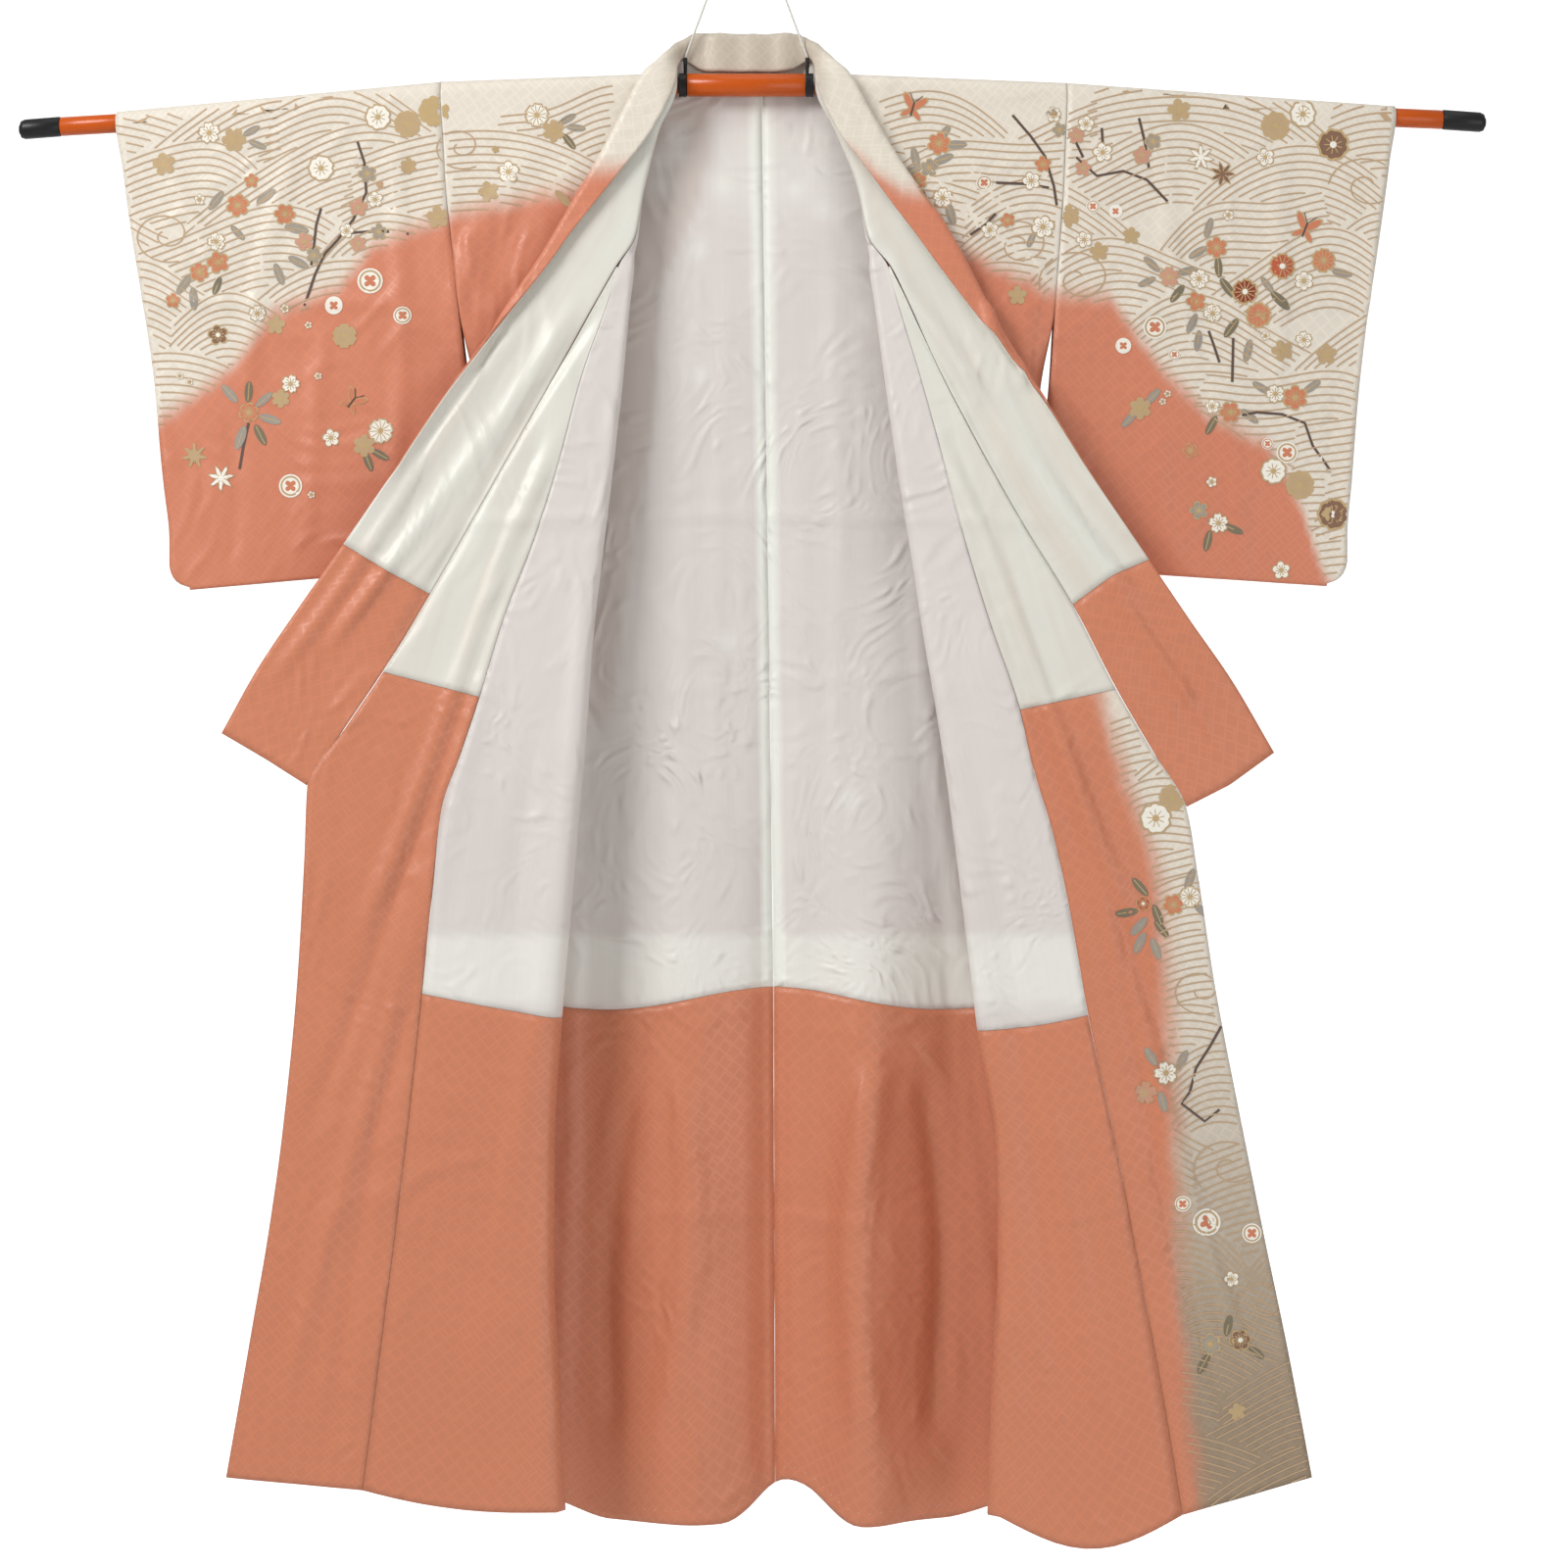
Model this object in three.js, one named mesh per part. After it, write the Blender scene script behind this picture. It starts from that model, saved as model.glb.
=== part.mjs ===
// Lined silk kimono on its hanger, both fronts folded open so that the linings show.
// Millimetres, +Z up, +Y towards the wall, origin where the hanger's ring is hung.
import * as THREE from 'three';

// Cloth
const SILK = 1.2;
const LINING = 1.0;
const PLY_GAP = 0.6; // between a panel and its lining
const SEAM_GAP = 0.3; // between panels that are sewn together
const OVER_COLLAR = 1.0;

// Hanger
const ROD_DROP = 188.7; // ring to the middle of the rod
const TUBE_RADIUS = 11.75;
const TUBE_HALF = 61.5;
const BRACKET_RADIUS = 12.2;
const BRACKET_HALF = 70;
const POST_OUT = 63.4;
const POST_RADIUS = 2.2;
const POST_TOP = 28;
const ARM_RADIUS = 9.75;
const ARM_SIDES = 20;
const CAP_RADIUS = ARM_RADIUS + 0.4;
const CAP_TAPER = { length: 6, drop: 0.4, radius: ARM_RADIUS * 0.55 };
const CORD_RADIUS = 1.1;
const CORD_SIDES = 6;
// One half of the cord's route, from its knob up to the hook: how far from the middle and how high
const CORD_HALF = [
  [63.4, -159.8], [56.3, -140.5], [49.1, -121.2], [42, -101.9], [34.9, -82.6], [27.8, -63.3],
  [20.7, -44], [13.6, -24.7], [6.5, -5.4], [4.6, -2.8], [2.4, -1.5],
];

// Where the cloth turns over the rod, measured to the gap between silk and lining
const FOLD_RADIUS = ARM_RADIUS + 0.55 + LINING + PLY_GAP / 2;
const NECK = 75.5; // half width of the neck opening
const OPENING_END = 225; // where the sleeve's seam ends below the rod
const SIDE_SEAM_TOP = 383;
const COLLAR_FOLD = 4; // radius of the collar's own fold

// Rows of values as objects with named columns
const named = (names, row) => Object.fromEntries(names.map((name, i) => [name, row[i]]));
const table = (names, rows) => rows.map((row) => named(names, row));

// One row per height of each front: how far below the rod and how far from the middle its three lines are
const LINES = ['edgeDrop', 'edge', 'seamDrop', 'seam', 'rollDrop', 'roll'];
const LEFT_FRONT = table(LINES, [
  [50, 92, 50, 92, 50, 92], [106, 106, 106, 106, 106, 106], [133, 110, 133, 110, 133, 110],
  [161, 114, 161, 114, 161, 113],
  [193, 134, 193, 132.2, 193, 117], [225, 152, 227, 142, 229, 121], [300, 194, 308, 170, 316, 129],
  [383, 240, 399, 194, 415, 140], [458, 282, 478, 219, 498, 150], [532, 325, 556, 249, 578, 159],
  [612, 373, 638, 274, 662, 165], [670, 412, 696, 293, 721, 170], [729, 451, 755, 313, 780, 175],
  [802, 454, 827, 321, 852, 181], [920, 461, 943, 333, 968, 191], [1060, 474, 1080, 347, 1105, 199],
  [1180, 490, 1197, 361, 1221, 199], [1320, 514, 1334, 378, 1358, 193], [1441, 535, 1452, 393, 1476, 187],
]);
const RIGHT_FRONT = table(LINES, [
  [50, 94, 50, 94, 50, 94], [106, 116, 106, 116, 106, 116], [133, 121, 133, 121, 133, 121],
  [161, 133, 161, 133, 161, 125],
  [193, 149, 193, 147.2, 193, 129], [225, 165, 227, 156, 229, 134], [300, 199, 307, 180, 313, 145],
  [383, 242, 395, 204, 405, 158], [458, 284, 474, 225, 486, 171], [543, 336, 563, 252, 577, 185],
  [630, 381, 651, 282, 667, 200], [690, 416, 712, 296, 728, 209], [751, 453, 775, 315, 791, 217],
  [820, 465, 847, 331, 863, 226], [935, 483, 965, 352, 981, 241], [1060, 507, 1092, 379, 1106, 260],
  [1180, 531, 1214, 402, 1224, 261], [1320, 560, 1355, 428, 1361, 254], [1441, 583, 1477, 448, 1480, 250],
]);
const OKUMI_TOP = 4; // row of the front table where the okumi's point begins
const OKUMI_LINING_END = 10; // row where its upper lining meets the hakkake
const COLLAR_LINING_END = 9;
const FRONT_LINING_END = 14;

// How deep each front lies: its hidden layer, its roll's radius, and the seam and edge of the turned layer
const DEPTH = table(['drop', 'hidden', 'radius', 'curl', 'seam', 'edge'], [
  [0, -11.6, 3, 0, -17, -17], [106, -11.6, 3.4, 45, -18, -18], [133, -11.7, 3.6, 95, -19, -19],
  [161, -11.8, 4.3, 140, -19.5, -19.5],
  [193, -12, 4.7, 180, -21.5, -21.5], [227, -12, 5, 180, -23.5, -24], [300, -12.5, 6.5, 180, -27, -28],
  [400, -13, 8, 180, -31, -33], [560, -14, 9, 180, -34, -37], [760, -14.5, 9, 180, -37, -38],
  [960, -15, 9.5, 180, -38, -35], [1200, -16, 10, 180, -42, -35], [1480, -18, 11, 180, -45, -34],
]);

// Width from the middle to the side of the body, and where the back's middle seam hangs
const LEFT_SIDE = table(['drop', 'side'], [
  [0, 317], [106, 311], [225, 298], [300, 281], [383, 268], [606, 256], [1510, 238],
]);
const RIGHT_SIDE = table(['drop', 'side'], [
  [0, 333], [106, 329], [225, 320], [300, 306], [383, 297], [606, 298], [1510, 303],
]);
const MIDDLE = table(['drop', 'x'], [[0, 16], [930, 28], [1510, 30]]);
const BACK_DROPS = [1508, 1400, 1270, 1120, 966, 800, 640, 500, 383, 300, 225, 106, 50, 8];
const BACK_LINING_END = 4;
const BACK_DEPTH = table(['drop', 'y'], [[0, 16.2], [225, 20], [600, 34], [966, 50], [1508, 62]]);
const SIDE_DEPTH = table(['drop', 'y'], [[0, 12], [600, 13], [1510, 20]]);
const BACK_FOLDS = table(['x', 'halfWidth', 'from', 'depth'], [
  [-58, 85, 300, -24], [-168, 52, 250, 10], [28, 32, 60, 14], [126, 62, 480, -32], [222, 52, 300, 14],
]);
// How much higher the back hangs near its middle, over what width and how far beside the seam
const MIDDLE_LIFT = table(['drop', 'amount', 'halfWidth', 'beside'], [
  [0, 0, 200, 0], [966, 24, 180, 0], [1508, 42, 74, 16],
]);
// How far each front dips at the hem, and how far the back hem rises to meet it at the side seam
const LEFT_HEM = { dip: 8, rise: 32 };
const RIGHT_HEM = { dip: 34, rise: 28 };
const HEM_RISE_WIDTH = 95;
// The neckline from the middle of the back to the top of the rod
const NECKLINE = table(['out', 'drop'], [[34, 4], [70, 1]]);
const TURN_STEPS = 6;

// One row per width of cloth across each collar, from the middle of the back to the collar's end
const STATIONS = ['foldOut', 'foldY', 'foldDrop', 'edgeOut', 'edgeY', 'edgeDrop'];
const NECK_COLLAR = table(STATIONS, [
  [16, 12, -53, 16, 6.5, -15], [34, 12, -54, 33, 7, -15.5], [52, 11, -54, 49, 9, -18],
  [61.5, 9, -48, 60, 10, -25], [71, 0, -42, 68.5, 3.5, -28], [78, -8, -34, 71.5, -9, -20.5],
  [85, -14, -27, 72.5, -17, -13],
  [91, -18, -20, 72, -21, -8.5], [97, -20.5, -14.5, 71.5, -23.5, -5], [103, -21.5, -9, 71.5, -25, -2],
]);
const COLLAR_GAP = 0.7; // how far off the neckline the collar begins
const COLLAR_TURN = 2.7; // radius of the collar's turn at its seam
const LEFT_COLLAR = table(STATIONS, [
  [122, -22.5, 26, 96, -26.5, 50], [149, -23, 78, 129, -27, 94], [162, -23.5, 101, 145, -27.7, 114],
  [176, -24, 124, 161, -28.5, 134],
  [191, -25, 151, 182, -30, 161], [208, -26, 180, 200, -31.5, 187], [252, -29, 249, 249, -37, 250],
  [283, -34, 316, 300, -46, 317], [330, -37, 386, 350, -47, 390], [369, -40, 508, 413, -44, 481],
  [415, -38, 578, 461, -40, 548], [457, -37, 637, 503, -36, 610], [492, -35, 703, 540, -33, 675],
]);
const RIGHT_COLLAR = table(STATIONS, [
  [124, -22.5, 28, 95, -26.5, 52], [150, -23, 72, 123, -27, 90], [163, -23.5, 92, 137, -27.7, 109],
  [177, -24, 112, 150, -28.5, 127],
  [199, -25, 142, 175, -30, 160], [216, -26, 171, 198, -31.5, 192], [255, -29, 247, 244, -36, 253],
  [292, -33, 314, 309, -45, 338], [322, -37, 380, 346, -47, 397], [377, -40, 513, 414, -44, 497],
  [424, -37, 585, 458, -40, 561], [458, -36, 650, 500, -37, 621], [498, -35, 728, 544, -33, 695],
]);
const LEFT_OVER_END = 7; // row of the collar table where the over-collar ends
const RIGHT_OVER_END = 7;

// Sleeves: inner and outer edge and half thickness at each height below the rod
const SLEEVE = ['drop', 'inner', 'outer', 'innerDepth', 'outerDepth'];
const LEFT_SLEEVE = table(SLEEVE, [
  [0, 317, 654, 11.6, 10.3], [50, 314.2, 647, 11.6, 8.5], [106, 311, 640, 11.6, 7],
  [225, 298, 622, 12, 2.2],
  [290, 290, 614, 9, 1.2], [380, 278, 606, 6.5, 1.2], [440, 272, 601, 4.5, 1.2],
]);
const RIGHT_SLEEVE = table(SLEEVE, [
  [0, 333, 674, 11.6, 10.3], [50, 331.2, 667, 11.6, 8.5], [106, 329, 660, 11.6, 7],
  [225, 320, 644, 12, 2.2],
  [290, 316, 637, 9, 1.2], [380, 307, 630, 6.5, 1.2], [440, 301, 626, 4.5, 1.2],
]);
const SLEEVE_COLUMNS = 7;
// The rounded outer corner: how far the cuff edge has come in at each height near the bottom
const CORNER = table(['drop', 'in', 'depth'], [
  [465, 1, 3.6], [478, 5, 2.9], [486, 13, 2.2], [489.5, 22, 1.8],
]);
const SLEEVE_BOTTOM = 491;

// Arms of the hanger: distance from the middle and drop below the middle of the tube
const LEFT_ARM = { knee: [317, 9.7], end: [655, 39.8], orange: [713, 43.2], tip: [756, 46.4] };
const RIGHT_ARM = { knee: [332, 10.9], end: [677, 34], orange: [724, 36], tip: [769, 39] };

const group = new THREE.Group();

const silkLook = { color: 0xd0a890, roughness: 0.6, metalness: 0 };
const liningLook = { color: 0xd6ccc8, roughness: 0.7, metalness: 0 };
const hemLook = { color: 0xcd805f, roughness: 0.6, metalness: 0 };
const orangeLook = { color: 0xcd5f0f, roughness: 0.3, metalness: 0 };
const blackLook = { color: 0x151515, roughness: 0.4, metalness: 0 };
const cordLook = { color: 0xe8e6e0, roughness: 0.8, metalness: 0 };

function add(name, geometry, look) {
  const mesh = new THREE.Mesh(geometry, new THREE.MeshStandardMaterial(look));
  mesh.name = name;
  group.add(mesh);
}

const lerp = (a, b, t) => a + (b - a) * t;
const clamp = (t) => Math.min(1, Math.max(0, t));
const smooth = (t) => clamp(t) ** 2 * (3 - 2 * clamp(t));
const bump = (t) => (Math.abs(t) < 1 ? (1 + Math.cos(Math.PI * t)) / 2 : 0);

// A table's column at any drop, between its rows
function at(rows, column, drop) {
  const i = Math.max(0, rows.findLastIndex((row) => row.drop <= drop));
  const a = rows[i];
  const b = rows[Math.min(i + 1, rows.length - 1)];
  return a === b ? a[column] : lerp(a[column], b[column], clamp((drop - a.drop) / (b.drop - a.drop)));
}

// Points at equal steps of length along a polyline between two of its lengths
function along(line, steps) {
  const lengths = [0];
  line.slice(1).forEach((p, i) => lengths.push(lengths[i] + p.distanceTo(line[i])));
  const total = lengths.at(-1);
  return steps.map((step) => {
    const want = clamp(step) * total;
    const i = Math.min(lengths.findLastIndex((l) => l <= want), line.length - 2);
    return line[i].clone().lerp(line[i + 1], (want - lengths[i]) / (lengths[i + 1] - lengths[i]));
  });
}

// Fractions of the whole at which columns stand, from [length, columns] for each stretch
function columnSteps(stretches) {
  const total = stretches.reduce((sum, [length]) => sum + length, 0);
  const steps = [0];
  let start = 0;
  for (const [length, count] of stretches) {
    for (let k = 1; k <= count; k += 1) steps.push((start + (length * k) / count) / total);
    start += length;
  }
  return steps;
}

function arc(centre, from, to, turn, count) {
  const points = [];
  for (let k = 0; k <= count; k += 1) {
    const angle = (turn * k) / count;
    points.push(centre.clone().addScaledVector(from, Math.cos(angle)).addScaledVector(to, Math.sin(angle)));
  }
  return points;
}

// Unit normals of a grid of points; closed grids wrap round their rows
function normalsOf(grid, closed = false) {
  const rows = grid.length;
  return grid.map((row, i) => row.map((_, j) => {
    const up = closed ? grid[(i + 1) % rows][j] : grid[Math.min(i + 1, rows - 1)][j];
    const down = closed ? grid[(i + rows - 1) % rows][j] : grid[Math.max(i - 1, 0)][j];
    const next = row[Math.min(j + 1, row.length - 1)];
    const last = row[Math.max(j - 1, 0)];
    return new THREE.Vector3().crossVectors(next.clone().sub(last), up.clone().sub(down)).normalize();
  }));
}

// Moves the open edges of a grid back by half the gap of a seam
function trimmed(grid, edges) {
  const out = grid.map((row) => row.map((p) => p.clone()));
  const pull = (p, towards) => p.add(towards.clone().sub(p).setLength(SEAM_GAP / 2));
  const last = grid[0].length - 1;
  const end = grid.length - 1;
  if (edges.includes('first')) out.forEach((row, i) => pull(row[0], grid[i][1]));
  if (edges.includes('last')) out.forEach((row, i) => pull(row[last], grid[i][last - 1]));
  if (edges.includes('start')) out[0].forEach((p, j) => pull(p, grid[1][j]));
  if (edges.includes('end')) out[end].forEach((p, j) => pull(p, grid[end - 1][j]));
  return out;
}

// A wall of cloth between two distances from a grid, along its normals
function wall(grid, normals, near, far, closed = false) {
  const rows = grid.length;
  const columns = grid[0].length;
  const position = [];
  for (const distance of [near, far]) {
    grid.forEach((row, i) => row.forEach((p, j) => {
      const q = p.clone().addScaledVector(normals[i][j], distance);
      position.push(q.x, q.y, q.z);
    }));
  }
  const id = (side, i, j) => (side * rows + (i % rows)) * columns + j;
  const index = [];
  const quad = (a, b, c, d) => index.push(a, b, c, a, c, d);
  const rings = closed ? rows : rows - 1;
  for (let i = 0; i < rings; i += 1) {
    for (let j = 0; j < columns - 1; j += 1) {
      quad(id(1, i, j), id(1, i, j + 1), id(1, i + 1, j + 1), id(1, i + 1, j));
      quad(id(0, i, j), id(0, i + 1, j), id(0, i + 1, j + 1), id(0, i, j + 1));
    }
    quad(id(0, i, 0), id(1, i, 0), id(1, i + 1, 0), id(0, i + 1, 0));
    const last = columns - 1;
    quad(id(0, i, last), id(0, i + 1, last), id(1, i + 1, last), id(1, i, last));
  }
  if (!closed) {
    for (let j = 0; j < columns - 1; j += 1) {
      quad(id(0, 0, j), id(0, 0, j + 1), id(1, 0, j + 1), id(1, 0, j));
      quad(id(0, rows - 1, j), id(1, rows - 1, j), id(1, rows - 1, j + 1), id(0, rows - 1, j + 1));
    }
  }
  const geometry = new THREE.BufferGeometry();
  geometry.setAttribute('position', new THREE.Float32BufferAttribute(position, 3));
  geometry.setIndex(index);
  return geometry;
}

// Rows and columns of a grid, both ends included
function part(grid, [top, bottom], [first, last]) {
  return grid.slice(top, bottom + 1).map((row) => row.slice(first, last + 1));
}

// A piece of cloth between two distances on the silk side of a grid; facing is that side of its normals
function panel(name, grid, facing, [near, far], look, options = {}) {
  const rows = options.rows ?? [0, grid.length - 1];
  const columns = options.columns ?? [0, grid[0].length - 1];
  const closed = options.closed ?? false;
  const normals = part(normalsOf(grid, closed), rows, columns);
  const level = normals.slice(0, Math.max(0, (options.middle ?? 0) - rows[0]));
  level.forEach(([normal]) => normal.setX(0).normalize());
  const piece = trimmed(part(grid, rows, columns), options.edges ?? []);
  const [low, high] = facing > 0 ? [near, far] : [-far, -near];
  add(name, wall(piece, normals, low, high, closed), look);
}

const SILK_PLY = [PLY_GAP / 2, PLY_GAP / 2 + SILK];
const LINING_PLY = [-PLY_GAP / 2 - LINING, -PLY_GAP / 2];
const OVER_PLY = [SILK_PLY[1] + SEAM_GAP, SILK_PLY[1] + SEAM_GAP + OVER_COLLAR];

const point = (side, out, y, drop) => new THREE.Vector3(side * out, y, -ROD_DROP - drop);

// How far the arm under the shoulder is below the middle tube
function armDrop(arm, out) {
  const stops = table(['drop', 'y'], [[TUBE_HALF, 0], arm.knee, arm.end, arm.tip]);
  return at(stops, 'y', out);
}

// Away from the neck the cloth lies on the rod; behind the neck it hangs clear of the thicker tube
const onRod = (out) => smooth((out - 60) / 25);

// Depth of the back panels
function backDepth(x, out, drop, side) {
  const free = at(BACK_DEPTH, 'y', drop);
  const fold = (f) => f.depth * bump((x - f.x) / f.halfWidth) * smooth((drop - f.from) / (1300 - f.from));
  const folds = BACK_FOLDS.reduce((sum, f) => sum + fold(f), 0);
  const atSleeve = at(side.sleeve, 'innerDepth', drop);
  const width = at(side.lines, 'side', drop);
  const shoulder = onRod(out) * (1 - smooth(drop / 100));
  const seam = smooth((out - width + 80) / 80) * (1 - smooth((drop - OPENING_END) / 150));
  return lerp(free + folds, atSleeve, Math.max(shoulder, seam));
}

// The share of the way round the side to its seam that a height has closed
const sideClosed = (drop) => smooth((drop - OPENING_END) / (SIDE_SEAM_TOP - OPENING_END));

const SIDE_TURN = 20; // the cloth near a side seam curves round over this width
const BACK_COLUMNS = 10;
const TURN_COLUMNS = 2;

// How much of the shoulder's slope is left at a height: it fades out below the sleeves
const slopeShare = (drop) => 1 - smooth((drop - OPENING_END) / 300);

function backRow(side, drop, inner) {
  const width = at(side.lines, 'side', drop);
  const slope = armDrop(side.arm, width) * slopeShare(drop);
  const middle = at(MIDDLE, 'x', drop);
  const lifted = (column) => at(MIDDLE_LIFT, column, drop);
  const lift = (x) => lifted('amount') * bump((x - middle - lifted('beside')) / lifted('halfWidth'));
  const hemShare = (drop / BACK_DROPS[0]) ** 3;
  const rise = (out) => side.hem.rise * hemShare * smooth((out - width) / HEM_RISE_WIDTH + 1);
  const place = (out, y) => {
    const share = clamp((out - NECK) / (width - NECK));
    return point(side.sign, out, y, drop + slope * share - lift(side.sign * out) - rise(out));
  };
  const start = inner ?? side.sign * middle;
  const turnFrom = width - SIDE_TURN;
  const line = [];
  for (let k = 0; k <= 30; k += 1) {
    const out = lerp(start, turnFrom, k / 30);
    line.push(place(out, backDepth(side.sign * out, out, drop, side)));
  }
  const yTurn = backDepth(side.sign * turnFrom, turnFrom, drop, side);
  const yOpen = backDepth(side.sign * width, width, drop, side);
  const yEnd = lerp(yOpen, at(SIDE_DEPTH, 'y', drop), sideClosed(drop));
  for (let k = 1; k <= 8; k += 1) {
    const angle = (Math.PI / 2) * (k / 8);
    const round = lerp(yTurn, yEnd, 1 - Math.cos(angle));
    const flat = lerp(yTurn, yEnd, k / 8);
    const outRound = turnFrom + SIDE_TURN * Math.sin(angle);
    const outFlat = turnFrom + (SIDE_TURN * k) / 8;
    const share = sideClosed(drop);
    line.push(place(lerp(outFlat, outRound, share), lerp(flat, round, share)));
  }
  return along(line, columnSteps([[turnFrom - start, BACK_COLUMNS], [SIDE_TURN, TURN_COLUMNS]]));
}

function frontLengths(visible, roll, curl, hidden) {
  const loose = 1 - smooth(curl / 60);
  return columnSteps([
    [Math.max(visible, lerp(6, 40, loose)), 3], [Math.max(roll, lerp(6, 50, loose)), 4],
    [hidden, 3], [SIDE_TURN, TURN_COLUMNS],
  ]);
}

function frontRow(side, row) {
  const depth = (column, drop) => at(DEPTH, column, drop);
  const hidden = depth('hidden', row.rollDrop);
  const radius = depth('radius', row.rollDrop);
  const curl = depth('curl', row.edgeDrop);
  const sideDrop = lerp(row.edgeDrop, row.rollDrop, smooth((row.edgeDrop - OPENING_END) / 150));
  const width = at(side.lines, 'side', sideDrop);
  const endDrop = sideDrop + armDrop(side.arm, width) * slopeShare(sideDrop);
  const place = (out, y) => {
    const share = clamp((out - row.roll) / (width - row.roll));
    return point(side.sign, out, y, lerp(row.rollDrop, endDrop, share));
  };
  const line = [];
  const rollEnd = row.roll + radius;
  const visible = curl === 180 ? row.seam - rollEnd : 0;
  if (visible > 0) {
    const seamY = depth('seam', row.seamDrop);
    for (let k = 0; k < 12; k += 1) {
      const t = k / 12;
      const dip = side.hem.dip * Math.sin(Math.PI * t) * (row.edgeDrop / 1441) ** 6;
      line.push(point(
        side.sign, lerp(row.seam, rollEnd, t), lerp(seamY, hidden - 2 * radius, smooth(t)),
        lerp(row.seamDrop, row.rollDrop, t) + dip,
      ));
    }
  }
  for (let k = 12; k >= 0; k -= 1) {
    const angle = ((curl * Math.PI) / 180) * (k / 12);
    const y = hidden - radius + radius * Math.cos(angle);
    line.push(point(side.sign, rollEnd - radius * Math.sin(angle), y, row.rollDrop));
  }
  const turnFrom = width - SIDE_TURN;
  for (let k = 1; k <= 12; k += 1) line.push(place(lerp(rollEnd, turnFrom, k / 12), hidden));
  const share = sideClosed(sideDrop);
  const yEnd = lerp(hidden, at(SIDE_DEPTH, 'y', sideDrop), share);
  for (let k = 1; k <= 8; k += 1) {
    const angle = (Math.PI / 2) * (k / 8);
    const out = lerp((SIDE_TURN * k) / 8, SIDE_TURN * Math.sin(angle), share);
    line.push(place(turnFrom + out, lerp(hidden, yEnd, 1 - Math.cos(angle))));
  }
  return along(line, frontLengths(visible, radius * curl * (Math.PI / 180), curl, turnFrom - rollEnd));
}

// A row over the rod; angle runs from the back over the top to the front
function turnRow(side, angle, steps) {
  const width = at(side.lines, 'side', 0);
  return steps.map((step) => {
    const out = lerp(NECK, width, step);
    const behind = lerp(BACK_DEPTH[0].y, FOLD_RADIUS, onRod(out));
    const y = (angle < Math.PI / 2 ? behind : FOLD_RADIUS) * Math.cos(angle);
    return point(side.sign, out, y, armDrop(side.arm, out) - FOLD_RADIUS * Math.sin(angle));
  });
}

// Body strip from the back hem over the shoulder to the front hem, columns from the inner edge outwards
function bodyGrid(side) {
  const back = BACK_DROPS.map((drop) => backRow(side, drop));
  const neck = NECKLINE.map(({ out, drop }) => backRow(side, drop, out));
  const backSteps = columnSteps([[BACK_COLUMNS, BACK_COLUMNS], [1, TURN_COLUMNS]]);
  const width = at(side.lines, 'side', 0) - NECK;
  const frontSteps = frontLengths(0, 0, 0, width - SIDE_TURN);
  const turn = [];
  for (let k = 0; k <= TURN_STEPS; k += 1) {
    const share = k / TURN_STEPS;
    turn.push(turnRow(side, Math.PI * share, backSteps.map((step, i) => lerp(step, frontSteps[i], share))));
  }
  return [...back, ...neck, ...turn, ...side.front.map((row) => frontRow(side, row))];
}

const FRONT_START = BACK_DROPS.length + NECKLINE.length + TURN_STEPS + 1;

// Okumi from its point to the hem, columns from the body's front seam to the free edge
function okumiGrid(side) {
  return side.front.slice(OKUMI_TOP).map((row) => {
    const a = point(side.sign, row.seam, at(DEPTH, 'seam', row.seamDrop), row.seamDrop);
    const b = point(side.sign, row.edge, at(DEPTH, 'edge', row.edgeDrop), row.edgeDrop);
    return along([a, b], [0, 1 / 3, 2 / 3, 1]);
  });
}

// Leaves a seam along one direction and turns on a small radius until it points at its goal
function turned(seam, away, normal, goal) {
  const reach = goal.clone().sub(seam);
  const aside = normal.clone().multiplyScalar(Math.sign(reach.dot(normal)));
  const goalX = reach.dot(away);
  const goalY = reach.dot(aside);
  const points = [seam.clone()];
  for (let k = 1; k <= 24; k += 1) {
    const angle = (Math.PI * k) / 22;
    const x = COLLAR_TURN * Math.sin(angle);
    const y = COLLAR_TURN * (1 - Math.cos(angle));
    if (Math.cos(angle) * (goalY - y) <= Math.sin(angle) * (goalX - x)) break;
    points.push(seam.clone().addScaledVector(away, x).addScaledVector(aside, y));
  }
  return points;
}

// One width of cloth across the collar: from its seam to its fold, round the fold and on to its free edge.
// Its first point lies back in the cloth it is sewn to, so that both meet at one slope.
function collarRow(side, seam, away, normal, station) {
  const fold = point(side.sign, station.foldOut, station.foldY, station.foldDrop);
  const edge = point(side.sign, station.edgeOut, station.edgeY, station.edgeDrop);
  const leg = fold.clone().sub(seam).normalize();
  const flap = edge.clone().sub(fold).normalize();
  const turn = Math.max(leg.angleTo(flap), 0.02);
  const inward = flap.clone().sub(leg).normalize();
  const across = flap.clone().add(leg).normalize();
  const radius = Math.max(COLLAR_FOLD, 10 / turn);
  const centre = fold.clone().addScaledVector(inward, radius);
  const [cosine, sine] = [Math.cos(turn / 2) * radius, Math.sin(turn / 2) * radius];
  const from = inward.clone().multiplyScalar(-cosine).addScaledVector(across, -sine);
  const to = inward.clone().multiplyScalar(-sine).addScaledVector(across, cosine);
  const round = arc(centre, from, to, turn, 8);
  const start = turned(seam, away, normal, round[0]);
  const turnLength = COLLAR_TURN * (Math.PI / 22) * (start.length - 1);
  const reach = start.at(-1).distanceTo(round[0]);
  const near = Math.max(turnLength, 8);
  const steps = columnSteps([
    [near, 2], [turnLength + reach - near, 2], [radius * turn, 3], [round[8].distanceTo(edge), 2],
  ]);
  const back = seam.clone().addScaledVector(away, -20);
  return [back, ...along([...start, ...round, edge], steps)];
}

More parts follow.
